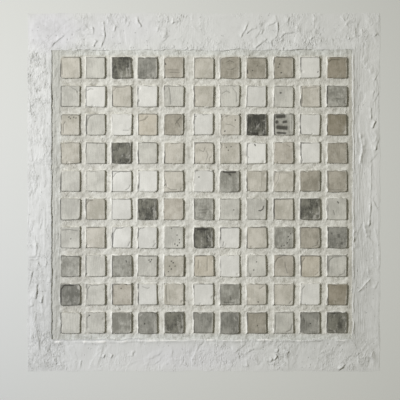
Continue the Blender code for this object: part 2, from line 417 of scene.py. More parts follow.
# Passes of the trowel: each flattens a long patch, leaves it a little proud or low and tilted,
# and draws a burr along one side. Their sides are crisp in places and feathered out in others.
relief = 0.0012 * waves(x, z, 0.050, 0.070, 2.3) + 0.0009 * waves(x, z, 0.022, 0.030, 6.7)
bent_x = x + 0.0060 * waves(x, z, 0.028, 0.034, 3.9) + 0.0026 * waves(x, z, 0.009, 0.011, 4.1)
bent_z = z + 0.0060 * waves(x, z, 0.034, 0.028, 9.1) + 0.0026 * waves(x, z, 0.011, 0.009, 8.3)
feather = 0.0012 + 0.0160 * np.clip(waves(x, z, 0.019, 0.023, 5.6) + 0.10, 0.0, 1.0)
dice = random.Random(41)
for _ in range(trowel_passes):
    level, middle_x, middle_z = place_on_border(dice, 0.6)
    if level:
        turn = math.radians(dice.choice((dice.gauss(-33, 20), dice.gauss(0, 30))))
    else:
        turn = math.radians(dice.gauss(-3, 10))
    length = dice.uniform(0.020, 0.090)
    width = dice.uniform(0.008, 0.034)
    lift = dice.uniform(-0.00055, 0.00070)
    tilt = dice.gauss(0.0, 0.00050)
    burr = dice.uniform(0.0, 0.00080)
    burr_side = dice.choice((-1, 1))
    sideways, lengthways = turned(bent_x - middle_x, bent_z - middle_z, turn)
    from_side = width / 2 - np.abs(sideways)
    from_end = length / 2 - np.abs(lengthways)
    inside = eased(from_side, 0.0, feather) * eased(from_end, 0.0, 0.0060)
    relief = relief + 0.75 * inside * (lift + tilt * sideways / (width / 2) - relief)
    beside_burr = (sideways * burr_side - width / 2) / 0.0010
    crisp = 1 - eased(feather, 0.0014, 0.0030)
    relief = relief + burr * crisp * np.exp(-(beside_burr**2)) * eased(from_end, 0.0, 0.25 * length)
relief = relief * (0.25 + 0.75 * calm)
uneven = np.clip(0.78 + 1.0 * waves(x, z, 0.0090, 0.0090, 3.7), 0.4, 1.2)
curved_x = x + 0.4 * (bent_x - x)
curved_z = z + 0.4 * (bent_z - z)
for falls, height, *points in trowel_ledges:
    line = [(point_x * mm, point_z * mm) for point_x, point_z in points]
    gentle = 0.0040 if falls == "right" else 0.0070
    share = ledge(curved_x, curved_z, line, falls == "right", gentle, ledge_drop)
    relief = relief + ledge_scale * height * mm * share * uneven
for _ in range(trowel_nicks):
    level, start_x, start_z = place_on_border(dice, 0.62)
    turn = math.radians(dice.gauss(-25, 40) if level else dice.gauss(-8, 16))
    length = dice.uniform(0.004, 0.013) if level else dice.uniform(0.006, 0.026)
    end = (start_x + length * math.sin(-turn), start_z + length * math.cos(turn))
    share = ledge(bent_x, bent_z, [(start_x, start_z), end], dice.random() < 0.65, 0.0030, 0.0012)
    relief = relief + dice.uniform(0.0003, 0.0011) * share * np.clip(0.22 + grit, 0.0, 1.0)
# Dabs of the trowel's corner: small overlapping flakes, each a little tilted.
for _ in range(corner_dabs):
    level, middle_x, middle_z = place_on_border(dice, 0.6)
    turn = math.radians(dice.gauss(-30, 35) if level else dice.gauss(0, 14))
    half_width = dice.uniform(0.0014, 0.0034)
    half_length = half_width * dice.uniform(1.2, 3.2)
    lift = dice.uniform(-0.00030, 0.00045)
    tilt = dice.gauss(0.0, 0.00035)
    near = np.nonzero((np.abs(x - middle_x) < 0.02) & (np.abs(z - middle_z) < 0.02))[0]
    if len(near) == 0:
        continue
    off_x = x[near] + 0.7 * (bent_x[near] - x[near]) - middle_x
    off_z = z[near] + 0.7 * (bent_z[near] - z[near]) - middle_z
    sideways, lengthways = turned(off_x, off_z, turn)
    sideways = sideways / half_width
    inside = eased(1 - np.hypot(sideways, lengthways / half_length), 0.0, 0.35)
    strength = np.clip(1.4 * grit[near] - 0.05, 0.0, 1.0)
    relief[near] = relief[near] + strength * inside * (lift + tilt * sideways)
relief = relief - grit * 0.00040 * np.abs(waves(x, z, 0.0048, 0.0060, 1.1))
relief = relief + grit * 0.00045 * waves(x, z, 0.0110, 0.0140, 5.2)
pulled = waves(x, z, 0.0050, 0.080, 6.2) + 0.35 * waves(x, z, 0.0028, 0.050, 1.9)
pulled = pulled + 1.3 * waves(x, z, 0.0120, 0.120, 2.7)
pulled_right = on_right * (1 - eased(right_of, 0.022, 0.045)) * (0.7 + 0.6 * eased(z, 0.05, 0.20))
pulled_here = pulled_right + 1.1 * on_left * eased(-z, -0.14, -0.02)
pulled_here = pulled_here * eased(waves(x, z, 0.030, 0.090, 9.4), -0.15, 0.15)
relief = relief + 0.00060 * pulled_here * pulled * (0.15 + 0.85 * calm)
# A low burr stands along the outline at the right.
outline_burr = crest_of(coat_high.x - x, 0.0036, 0.0013) * on_right
outline_burr = outline_burr * (1 - eased(z, -0.02, 0.0) * (1 - eased(z, 0.085, 0.100)))
relief = relief + 0.0010 * outline_burr * eased(waves(x, z, 0.5, 0.050, 6.3), -0.20, 0.10)
for hole_x, hole_z in air_holes:
    from_hole = np.hypot(x - hole_x * mm, z - hole_z * mm)
    relief = relief - hole_depth * crest_of(from_hole, 0.0, hole_reach)

# The coat's edge round the field: high and crisp at the left, rounded over with a bright burr at
# the right and the bottom, and broken at the top. The bottom burr falls away towards the left.
at_rim = fading(to_field, 0.0009)
crest = crest_of(to_field, 0.0018, 0.0014)
fall = 0.0042 * eased(-x, 0.02, 0.24) * underneath
to_burr = to_field - fall
inside_burr = (1 - eased(to_burr, -0.0012, 0.0002)) * (fall > 0.0004)
low_crest = crest_of(to_burr, 0.0016, np.where(to_burr < 0.0016, 0.0013, 0.0045))
broken_down = eased(waves(x, z, 1.0, 0.030, 6.6), -0.30, 0.05)
broken_across = eased(waves(x, z, 0.026, 1.0, 2.6), -0.15, 0.20)
field_burr = (0.0018 * crest - 0.0014 * at_rim) * broken_down * (right_of > 0)
field_burr = field_burr + (0.0011 * low_crest - 0.0008 * at_rim) * broken_across * (below > 0)
field_burr = field_burr - 0.0006 * inside_burr
broken_top = eased(waves(x, z, 0.022, 1.0, 8.6), 0.0, 0.30)
sagged = 0.0012 * fading(to_field, 0.0025) * (1 - broken_top)
field_burr = field_burr + (0.0007 * crest - sagged) * (above > 0)
field_burr = field_burr + 0.0003 * fading(to_field, 0.0020) * (left_of > 0)
# Painted highlight: the crests of the burrs at the bottom and the right, whose flanks face the lamp, are
# painted whiter.
painted_burr_highlight = crest_of(to_burr, 0.0009, 0.0011)
crisp_across = 0.2 + 1.6 * eased(waves(x, z, 0.022, 1.0, 3.1), -0.12, 0.12)
painted_burr_highlight = 2.3 * painted_burr_highlight * (broken_across * crisp_across * (below > 0) + 0.9 * broken_down * (right_of > 0))

lip = 0.0001 + 0.0010 * np.clip(waves(x, z, 0.09, 0.11, 4.8), 0.0, 1.0)
lip = lip * eased(from_outline, 0.0, 0.0070) * (1 - on_left)
at_field = height_at_left * left_of + height_at_right * right_of + height_at_top * above
at_field = (at_field + height_at_bottom * below) / all_sides
at_field = np.where(to_field > 0, at_field, np.where(z > field_top - 0.001, height_at_top, height_at_bottom))
at_field = np.where((to_field <= 0) & (x < field_left + 0.001), height_at_left, at_field)
at_field = np.where((to_field <= 0) & (x > field_right - 0.001), height_at_right, at_field)
swell = coat_swell + (left_swell - coat_swell) * on_left
depth = coat_at_outline + (at_field - coat_at_outline) * way_in**swell + lip
depth = depth + relief * (0.15 + 0.85 * eased(way_in, 0.0, 0.20)) + field_burr
depth = np.maximum(depth, 0.00015 + 0.00010 * grit)
at_outline = 1 - eased(way_in, 0.0, 0.15)
waver_x = (0.0024 * waves(x, z, 0.5, 0.050, 1.3) + 0.0010 * waves(x, z, 0.5, 0.012, 3.3)) * at_outline
waver_z = (0.0024 * waves(x, z, 0.050, 0.5, 5.9) + 0.0010 * waves(x, z, 0.012, 0.5, 7.3)) * at_outline
# The rim of the field was cut by eye: it wavers by a millimetre.
near_rim = fading(to_field, 0.0060)
across_rim = 0.0020 * waves(x, z, 0.5, 0.020, 4.6) + 0.0012 * waves(x, z, 0.5, 0.007, 8.8)
across_rim = across_rim * np.where(x < 0, 0.5, 1.0) - 0.0013 * (x < 0)
down_rim = 0.0032 * waves(x, z, 0.032, 0.5, 5.7) + 0.0010 * waves(x, z, 0.007, 0.5, 2.8)
down_rim = down_rim + 0.0012 * (z < 0)
waver_x = waver_x + across_rim * near_rim * ((left_of > 0) | (right_of > 0) | (to_field < 0.0001))
waver_z = waver_z + down_rim * near_rim * ((above > 0) | (below > 0) | (to_field < 0.0001))
for index, vert in enumerate(coat.verts):
    vert.co.x += waver_x[index]
    vert.co.z += waver_z[index]
drawn = 0.10 + on_right * (0.85 - 0.60 * eased(right_of, 0.020, 0.045)) + 0.45 * on_left
drawn = np.clip(drawn + 0.7 * waves(x, z, 0.040, 0.080, 3.6), 0.0, 1.0)
# Painted shade along the field's left rim, wider lower down, and a painted shadow line under the bottom burr.
# The rest evens the tone by region: darker over the left of the border and its outer left lower down, darker
# at the lower right, lighter along the bottom left of the middle, at the rim where the bottom burr falls
# away, and at the upper right.
grey_and_painted_shade = 0.16 * (1 - eased(x, -0.34, -0.12)) * (1 - underneath) + 0.7 * fading(to_field, 0.0018) * on_left
under_burr = crest_of(to_burr, 0.0040, 0.0011) * underneath
grey_and_painted_shade = grey_and_painted_shade + 0.65 * under_burr * eased(waves(x, z, 0.028, 1.0, 4.2), -0.10, 0.12)
grey_and_painted_shade = grey_and_painted_shade - 0.5 * at_rim * (fall > 0.0004)
grey_and_painted_shade = grey_and_painted_shade - 0.16 * underneath * (1 - eased(x, 0.0, 0.15)) * eased(x, -0.33, -0.25)
grey_and_painted_shade = grey_and_painted_shade + 0.10 * eased(x, 0.12, 0.25) * eased(-z, 0.05, 0.25) - 0.25 * on_right * eased(z, -0.12, 0.0)
grey_and_painted_shade = grey_and_painted_shade + 0.14 * (1 - eased(x, -0.34, -0.30)) * eased(-z, 0.10, 0.20)
grey_and_painted_shade = grey_and_painted_shade + 0.45 * fading(to_field, 0.0032) * on_left * eased(-z, 0.20, 0.28)
give_relief(coat, depth, crumbs, drawn, grey_and_painted_shade - painted_burr_highlight)
# Its white is a touch cooler towards the top left and along the middle of the bottom.
cool = patch_of(x, z, -0.345, 0.365, 0.060, 0.045) + 0.5 * patch_of(x, z, -0.19, 0.37, 0.090, 0.035)
cool = cool + 0.6 * patch_of(x, z, -0.02, -0.375, 0.120, 0.030)
note(coat.verts, coat.verts.layers.float.new("edge"), np.clip(cool, 0.0, 1.0))

# The margin is narrower than the wavering of the field's rim, so parts of that rim are taken for
# outline and neither rim gets filled: behind, the coat is open.
outline, field_rim = split_rim(coat, coat_spacing / 2)
close_behind(coat, outline, 0.0)
close_behind(coat, field_rim, web_face)


def shade(tree, kind, inputs=None, output=0, **settings):
    """Adds a shader node and gives its output; an input is a value or another node's output."""
    made = tree.nodes.new("ShaderNode" + kind)
    for name, value in settings.items():
        setattr(made, name, value)
    for name, value in (inputs or {}).items():
        if isinstance(value, bpy.types.NodeSocket):
            tree.links.new(value, made.inputs[name])
        else:
            made.inputs[name].default_value = value
    return made.outputs[output]


def added(tree, first, second):
    return shade(tree, "Math", {0: first, 1: second}, operation="ADD")


def less(tree, first, second):
    return shade(tree, "Math", {0: first, 1: second}, operation="SUBTRACT")


def times(tree, first, second):
    return shade(tree, "Math", {0: first, 1: second}, operation="MULTIPLY")


def larger(tree, first, second):
    return shade(tree, "Math", {0: first, 1: second}, operation="MAXIMUM")


def scaled(tree, value, amount, around=0.5):
    """A 0 to 1 pattern turned into plus and minus half this amount."""
    return shade(tree, "Math", {0: value, 1: amount, 2: -amount * around}, operation="MULTIPLY_ADD")


def ramp(tree, value, low, high, to_low=0.0, to_high=1.0):
    """Eases a value from one range to another and holds it at both ends."""
    ends = {"Value": value, "From Min": low, "From Max": high, "To Min": to_low, "To Max": to_high}
    return shade(tree, "MapRange", ends, interpolation_type="SMOOTHSTEP")


def blend(tree, factor, first, second, blend_type="MIX"):
    inputs = {0: factor, 6: first, 7: second}
    return shade(tree, "Mix", inputs, output=2, data_type="RGBA", blend_type=blend_type)


def stretched(tree, across, down):
    """The object's own coordinates, stretched across and down."""
    place = shade(tree, "TexCoord", output="Object")
    return shade(tree, "Mapping", {"Vector": place, "Scale": (across, 1.0, down)})


def noise_of(tree, place, scale, detail, roughness):
    """Cloudy noise, from 0 to 1."""
    inputs = {"Vector": place, "Scale": scale, "Detail": detail, "Roughness": roughness}
    return shade(tree, "TexNoise", inputs)


def spots_of(tree, place, scale):
    """Distance to the nearest of many scattered points."""
    return shade(tree, "TexVoronoi", {"Vector": place, "Scale": scale})


def noted(tree, name):
    """What the mesh notes under this name at each point."""
    return shade(tree, "Attribute", output="Fac", attribute_name=name)


def new_group(name, inputs, outputs):
    """A node group with named sockets, given as (kind, default) by name."""
    tree = bpy.data.node_groups.new(name, "ShaderNodeTree")
    for socket, (kind, value) in inputs.items():
        made = tree.interface.new_socket(socket, in_out="INPUT", socket_type="NodeSocket" + kind)
        made.default_value = value
    for socket, kind in outputs.items():
        tree.interface.new_socket(socket, in_out="OUTPUT", socket_type="NodeSocket" + kind)
    return tree, tree.nodes.new("NodeGroupInput").outputs, tree.nodes.new("NodeGroupOutput").inputs


def make_plaster_grain():
    """Fine grain, crumbs and pinholes of plaster: a colour and a height in metres."""
    tree, given, result = new_group(
        "plaster_grain",
        {
            "Tint": ("Color", (0.76, 0.76, 0.75, 1.0)),
            "Hollow Tint": ("Color", (0.62, 0.61, 0.58, 1.0)),
            "Grit": ("Float", 0.5),
            "Drawn": ("Float", 0.3),
            "Crease": ("Float", 0.0),
            "Stain": ("Float", 0.3),
            "Edge": ("Float", 0.0),
            "Edge Tint": ("Color", (1.0, 1.0, 1.04, 1.0)),
        },
        {"Color": "Color", "Height": "Float"},
    )
    even = stretched(tree, 1.0, 1.0)
    drawn = stretched(tree, 1.0, 0.55)
    crumbs = noise_of(tree, drawn, 310.0, 3.0, 0.55)
    lumps = noise_of(tree, even, 105.0, 2.0, 0.5)
    clouds = noise_of(tree, even, 42.0, 3.0, 0.5)
    strokes = noise_of(tree, stretched(tree, 1.0, 0.10), 300.0, 2.0, 0.6)
    holes = spots_of(tree, even, 190.0)
    pinholes = ramp(tree, holes, 0.16, 0.30, 1.0, 0.0)
    some = ramp(tree, lumps, 0.56, 0.66)
    pinholes = times(tree, pinholes, some)
    height = scaled(tree, crumbs, 0.00150)
    height = added(tree, height, scaled(tree, lumps, 0.00180))
    height = times(tree, height, added(tree, given["Grit"], 0.06))
    drawn = times(tree, scaled(tree, strokes, 0.00120), given["Drawn"])
    height = added(tree, height, drawn)
    height = less(tree, height, times(tree, pinholes, 0.00050))
    # The colour goes towards the hollow tint with stains in clouds and lumps, and with painted shade: in the
    # pinholes, between the crumbs where the plaster is gritty, and along the noted creases.
    hollow = added(tree, scaled(tree, clouds, 3.2), scaled(tree, lumps, 1.6))
    hollow = times(tree, added(tree, hollow, 0.35), given["Stain"])
    hollow = added(tree, hollow, times(tree, pinholes, 0.5))
    hollow = added(tree, hollow, given["Crease"])
    specks = times(tree, ramp(tree, crumbs, 0.36, 0.46, 0.4, 0.0), given["Grit"])
    hollow = added(tree, hollow, specks)
    color = blend(tree, ramp(tree, hollow, 0.0, 1.0), given["Tint"], given["Hollow Tint"])
    cooler = blend(tree, 1.0, color, given["Edge Tint"], "MULTIPLY")
    color = blend(tree, given["Edge"], color, cooler)
    # Where the noted crease falls below nothing, the colour is painted towards near white: a painted
    # highlight on the burrs' crests.
    painted_highlight = ramp(tree, given["Crease"], -1.0, 0.0, 0.9, 0.0)
    tree.links.new(blend(tree, painted_highlight, color, (0.96, 0.95, 0.92, 1.0)), result["Color"])
    tree.links.new(height, result["Height"])
    return tree


plaster_grain = make_plaster_grain()


def grouped_material(name, group, roughness, specular, settings):
    """A material with its colour and relief from a group; a word names what the mesh notes."""
    material = bpy.data.materials.new(name)
    material.use_nodes = True
    tree = material.node_tree
    surface = tree.nodes["Principled BSDF"].inputs
    surface["Roughness"].default_value = roughness
    surface["Specular IOR Level"].default_value = specular
    made = tree.nodes.new("ShaderNodeGroup")
    made.node_tree = group
    for socket, value in settings.items():
        if isinstance(value, str):
            tree.links.new(noted(tree, value), made.inputs[socket])
        else:
            made.inputs[socket].default_value = value
    tree.links.new(made.outputs["Color"], surface["Base Color"])
    bump = {"Height": made.outputs["Height"], "Distance": 1.0, "Strength": 1.0}
    tree.links.new(shade(tree, "Bump", bump), surface["Normal"])
    return material


def plaster_material(name, tint, hollow_tint, edge_tint, stain):
    """A matt plaster whose grain follows the mesh's own grit, creases and direction of stroke."""
    settings = {"Tint": tint, "Hollow Tint": hollow_tint, "Edge Tint": edge_tint, "Stain": stain}
    settings |= {"Grit": "grit", "Drawn": "drawn", "Crease": "crease", "Edge": "edge"}
    return grouped_material(name, plaster_grain, 0.9, 0.25, settings)


white_plaster = plaster_material(
    "white_plaster", (0.790, 0.797, 0.786, 1), (0.545, 0.55, 0.53, 1), (1.01, 1.0, 1.045, 1), 0.25
)
piece_of("plaster_coat", coat, [white_plaster], ["plaster_panel"])


# The setting plaster. It fills the sunk field round the stones, a little warmer and rougher than
# the coat. Each stone pushed it up at its left and top, where it also laps over the stone's edge.
bed_face = 0.0030
bed_fine = 0.00090
bed_even = 0.0016
bed_coarse = 0.0027
under_coat = 0.0026
stone_face_depth = 0.0070
lap_over = 0.0014
lap_ramp = 0.0042


def stone_places(node):
    """Middle, half-sizes, turn and tilt of each stone's face in one course, left to right."""
    solid = bmesh.new()
    solid.from_mesh(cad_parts[node].data)
    bmesh.ops.remove_doubles(solid, verts=solid.verts, dist=0.00002)
    left = {face for face in solid.faces if all(v.co.y < -stone_face_depth for v in face.verts)}
    places = []
    while left:
        reached = [left.pop()]
        patch = set(reached)
        while reached:
            for edge in reached.pop().edges:
                for other in left.intersection(edge.link_faces):
                    left.remove(other)
                    patch.add(other)
                    reached.append(other)
        points = np.array([tuple(vert.co) for vert in {v for face in patch for v in face.verts}])
        flat = np.column_stack([np.ones(len(points)), points[:, 0], points[:, 2]])
        tilt = np.linalg.lstsq(flat, points[:, 1], rcond=None)[0]
        fits = []
        for turn in np.radians(np.linspace(-1.5, 1.5, 31)):
            across, along = turned(points[:, 0], points[:, 2], turn)
            fits.append((np.ptp(across) * np.ptp(along), turn, across, along))
        _, turn, across, along = min(fits, key=lambda fit: fit[0])
        middle_u = (across.max() + across.min()) / 2
        middle_v = (along.max() + along.min()) / 2
        middle_x, middle_z = turned(middle_u, middle_v, -turn)
        places.append(
            {
                "x": middle_x,
                "z": middle_z,
                "half_width": np.ptp(across) / 2,
                "half_height": np.ptp(along) / 2,
                "turn": turn,
                "tilt": tilt,
            }
        )
    solid.free()
    return sorted(places, key=lambda place: place["x"])


def face_at(place, x, z):
    """How far a stone's face stands out from the wall."""
    return -(place["tilt"][0] + place["tilt"][1] * x + place["tilt"][2] * z)


def grid_lines(low, high, blocks, burrs):
    """Where the lines of a grid go: close together at the burrs, far apart under the stones."""
    lines = [low]
    while lines[-1] < high:
        step = bed_even
        if any(start < lines[-1] < end for start, end in blocks):
            step = bed_coarse
        if any(start < lines[-1] < end for start, end in burrs):
            step = bed_fine
        lines.append(lines[-1] + step)
    return np.interp(lines, (low, lines[-1]), (low, high))


courses = [stone_places(node) for node in course_nodes]
columns = list(zip(*courses))
under_rim = 0.0015
burr_zone = 0.0052
blocks_across = []
burrs_across = [(field_left - under_coat, field_left + 0.004)]
for column in columns:
    middle = np.mean([place["x"] for place in column])
    half = np.mean([place["half_width"] for place in column])
    blocks_across.append((middle - half + under_rim, middle + half - under_rim))
    burrs_across.append((middle - half - burr_zone, middle - half + under_rim))
blocks_down = []
burrs_down = []
for course in courses:
    middle = np.mean([place["z"] for place in course])
    half = np.mean([place["half_height"] for place in course])
    blocks_down.append((middle - half + under_rim, middle + half - under_rim))
    burrs_down.append((middle + half - under_rim, middle + half + burr_zone))
lines_across = grid_lines(field_left - under_coat, field_right + under_coat, blocks_across, burrs_across)
lines_down = grid_lines(field_bottom - under_coat, field_top + under_coat, blocks_down, burrs_down)
steps_across = len(lines_across) - 1
steps_down = len(lines_down) - 1
bed = upright_grid(steps_across, steps_down)
for vert in bed.verts:
    vert.co.x = lines_across[round((vert.co.x + 0.5) * steps_across)]
    vert.co.z = lines_down[round((vert.co.z + 0.5) * steps_down)]
x = np.array([vert.co.x for vert in bed.verts])
z = np.array([vert.co.z for vert in bed.verts])
gap = np.full(len(x), 0.03)
faces_left = np.zeros(len(x))
faces_up = np.zeros(len(x))
stone_top = np.zeros(len(x))
beside_course = np.zeros(len(x), dtype=bool)
for course in courses:
    for place in course:
        near = np.nonzero((np.abs(x - place["x"]) < 0.04) & (np.abs(z - place["z"]) < 0.04))[0]
        u, v = turned(x[near] - place["x"], z[near] - place["z"], place["turn"])
        over_u = np.abs(u) - place["half_width"]
        over_v = np.abs(v) - place["half_height"]
        outside = np.hypot(np.maximum(over_u, 0), np.maximum(over_v, 0))
        this_gap = np.where(outside > 0, outside, np.maximum(over_u, over_v))
        closer = this_gap < gap[near]
        spot = near[closer]
        gap[spot] = this_gap[closer]
        faces_left[spot] = np.where(over_u > over_v, -np.sign(u), 0.0)[closer]
        faces_up[spot] = np.where(over_u > over_v, 0.0, np.sign(v))[closer]
        stone_top[spot] = face_at(place, x[near], z[near])[closer]
    middle_z = np.mean([place["z"] for place in course])
    half_z = np.mean([place["half_height"] for place in course])
    beside_course |= np.abs(z - middle_z) < half_z + 0.001

upright = beside_course | (x < courses[0][0]["x"] - 0.022) | (x > courses[0][-1]["x"] + 0.022)
streaks = waves(x, z, 0.0050, 0.030, 4.4) + 0.6 * waves(x, z, 0.0095, 0.045, 2.9)
lumps = waves(x, z, 0.0120, 0.0085, 1.7) + 0.5 * waves(x, z, 0.0055, 0.0045, 6.1)
relief = np.where(upright, 0.00084 * streaks + 0.00088 * lumps, 0.00145 * lumps + 0.00012 * streaks)
relief = relief + 0.0007 * waves(x, z, 0.028, 0.028, 8.4)
outside = np.maximum(gap, 0)
climb = 0.0006 * (faces_left > 0) + 0.0005 * (faces_up > 0) + 0.0006 * (faces_up < 0)
relief = relief + climb * fading(outside, 0.0035)
relief = relief - 0.0005 * fading(outside, 0.0040) * (faces_left < 0)
# The burr that a stone pushed up as it went in: a narrow crest of plaster, a little off its
# left and top sides, stronger to the right and lower down. Its crest is painted whiter, a painted highlight.
crest_at = np.maximum(0.0018 + 0.0022 * waves(x, z, 0.013, 0.013, 7.2), 0.0003)
flank = np.where(outside < crest_at, 0.0009, 0.0016)
crest = crest_of(outside, crest_at, flank) * (gap > -0.0002)
strength = 0.75 + 1.3 * waves(x, z, 0.020, 0.020, 5.3) + 0.5 * waves(x, z, 0.007, 0.007, 1.2)
strength = strength + 0.35 * (x - field_left) / (field_right - field_left)
strength = strength + 0.20 * (field_top - z) / (field_top - field_bottom)
first_column = x < courses[0][0]["x"]
crest = crest * np.clip(strength - 0.9 * first_column, 0.0, 1.5)
crest = crest * (1.0 * (faces_left > 0) + 0.85 * (faces_up > 0))
relief = relief + 0.0012 * crest
from_left = x - field_left
from_right = field_right - x
from_top = field_top - z
from_bottom = z - field_bottom
relief = relief + 0.0008 * fading(from_left, 0.0060) - 0.0020 * fading(np.abs(from_left), 0.0030)
relief = relief - 0.0005 * fading(from_right, 0.0040)
depth = bed_face + relief

lap = waves(x, z, 0.017, 0.019, 3.3) - 0.05 * (faces_left > 0) - 0.12 * (faces_up > 0)
lap = lap - 0.60 * (faces_left < 0) - 0.40 * (faces_up < 0)
lap = eased(lap, 0.10, 0.30)
reach = lap_over * (0.45 + 1.1 * waves(x, z, 0.006, 0.006, 9.9))
outer = 1 - eased(gap, 0.0003, lap_ramp)
inner = 1 - eased(-gap, np.maximum(reach - 0.0008, 0.0), np.maximum(reach, 0.0) + 0.0005)
lap = lap * np.where(gap > 0, outer, inner)
depth = depth + lap * (stone_top + 0.00025 + 0.0006 * waves(x, z, 0.005, 0.005, 5.5) - depth)
grit = 0.62 + 1.0 * waves(x, z, 0.018, 0.018, 2.2) - 0.26 * upright
grit = grit + 0.5 * crest_of(from_left, 0.0, 0.013)
grit = np.clip(grit, 0.02, 1.2)
drawn = np.where(upright, 0.45, 0.05)
# Grey along the field's edges: streaks of dust and painted shade at the left rim, painted shade along the
# right.
grey_streaks = 0.6 + 1.6 * waves(x, z, 0.0042, 0.060, 6.9) + 0.6 * waves(x, z, 0.014, 0.014, 1.4)
grey_and_painted_shade = 1.6 * crest_of(from_left, 0.0, 0.014) * np.clip(1.3 * grey_streaks - 0.1, 0.0, 1.3)
grey_and_painted_shade = grey_and_painted_shade + 0.9 * crest_of(from_right, 0.0, 0.012) * np.clip(grey_streaks, 0.4, 1.3)
# Darker towards the left of the field.
grey_and_painted_shade = grey_and_painted_shade + 0.32 * (1 - eased(from_left, 0.070, 0.110))
# Painted shadow to the right of and below each stone, painted shade along the left rim, and a painted
# highlight on the burrs' crests.
grey_and_painted_shade = grey_and_painted_shade + 0.85 * fading(outside, 0.0024) * (faces_left < 0)
grey_and_painted_shade = grey_and_painted_shade + 0.30 * fading(outside, 0.0014) * (faces_up < 0)
grey_and_painted_shade = grey_and_painted_shade + 0.7 * fading(np.abs(from_left), 0.0034) - 0.50 * np.clip(crest, 0.0, 1.0) ** 1.5
give_relief(bed, depth, grit, drawn, grey_and_painted_shade)
from_edge = np.minimum.reduce([0.6 * from_left, from_top, from_bottom])
note(bed.verts, bed.verts.layers.float.new("edge"), 1 - eased(from_edge, 0.008, 0.016))

tucked = 0.0028
hidden = []
for face in bed.faces:
    middle = face.calc_center_bounds()
    for course in courses:
        if abs(middle.z - course[0]["z"]) > 0.03:
            continue
        for place in course:
            in_width = abs(middle.x - place["x"]) < place["half_width"] - tucked
            if in_width and abs(middle.z - place["z"]) < place["half_height"] - tucked:
                hidden.append(face)
bmesh.ops.delete(bed, geom=hidden, context="FACES")
bed_outline, _ = split_rim(bed, under_coat / 2)
close_behind(bed, bed_outline, web_face + seat_gap)
bmesh.ops.holes_fill(bed, edges=[edge for edge in bed.edges if edge.is_boundary], sides=0)
warm_plaster = plaster_material(
    "setting_plaster", (0.759, 0.753, 0.700, 1), (0.572, 0.559, 0.503, 1), (0.985, 1.01, 1.04, 1), 0.62
)
piece_of("setting_plaster", bed, [warm_plaster], course_nodes)


# The stones. Small tumbled blocks of limestone, travertine and slate, cut alike but worn unlike,
# pressed into the setting plaster course by course with their faces proud of it.
stone_rings = 18
face_rings = 14
edge_rings = np.arange(face_rings, stone_rings + 1)
stone_foot = bed_face - 0.0009
film_tint = (0.76, 0.745, 0.69, 1)
pit_half_width = 0.045
noted_on_stones = ("tone", "rim", "shoulder", "mark", "upward", "crack")
lot_of_stones = 7000
# Each finish: its deep and its pale tone, how streaked, mottled, pitted and filmed it is, and
# its roughness.
finishes = {
    "chalk": ((0.71, 0.705, 0.665), (0.89, 0.885, 0.842), 0.4, 0.3, 0.0, 0.3, 0.75),
    "mist": ((0.495, 0.488, 0.442), (0.745, 0.736, 0.673), 0.6, 0.4, 0.2, 0.4, 0.78),
    "bone": ((0.47, 0.45, 0.382), (0.715, 0.685, 0.61), 0.4, 0.5, 0.4, 0.5, 0.80),
    "sand": ((0.45, 0.415, 0.335), (0.69, 0.645, 0.548), 0.4, 0.5, 0.3, 0.4, 0.80),
    "blush": ((0.43, 0.40, 0.337), (0.655, 0.622, 0.545), 0.3, 0.6, 0.4, 0.4, 0.80),
    "taupe": ((0.30, 0.28, 0.226), (0.525, 0.494, 0.42), 0.4, 0.7, 0.4, 0.3, 0.80),
    "umber": ((0.25, 0.225, 0.165), (0.43, 0.39, 0.315), 0.5, 0.6, 0.2, 0.3, 0.80),
    "ash": ((0.265, 0.26, 0.225), (0.50, 0.495, 0.445), 0.6, 0.9, 0.4, 0.5, 0.76),
    "pewter": ((0.18, 0.178, 0.155), (0.38, 0.375, 0.335), 0.7, 0.7, 0.3, 0.4, 0.72),
    "slate": ((0.060, 0.060, 0.050), (0.25, 0.245, 0.205), 0.7, 1.0, 0.1, 0.60, 0.65),
}
# Courses and places are counted from the top left.
chosen_places = {
    "slate": ((1, 3), (3, 8), (4, 3), (6, 4), (6, 10), (7, 6), (10, 5), (10, 11)),
    "pewter": ((1, 4), (9, 1), (10, 4), (10, 6), (10, 7), (10, 10), (7, 11)),
    "ash": ((2, 11), (3, 9), (5, 7), (6, 6), (8, 1), (8, 3), (9, 7), (10, 3), (7, 9)),
    "umber": ((1, 11), (9, 11), (3, 11)),
    "taupe": ((1, 7), (1, 8), (1, 9), (4, 11), (5, 11), (3, 5), (5, 10), (10, 8)),
    "chalk": (
        (2, 2), (2, 4), (3, 3), (3, 6), (4, 8), (4, 10), (5, 3), (5, 4), (6, 3), (7, 3), (7, 4),
        (7, 7), (8, 7), (9, 4), (9, 6), (9, 10), (3, 10), (5, 6), (2, 8), (1, 10),
    ),
    "mist": ((4, 4), (8, 4), (8, 11), (10, 9), (2, 5), (6, 11)),
    "bone": ((6, 2), (6, 9), (2, 6), (4, 6)),
}
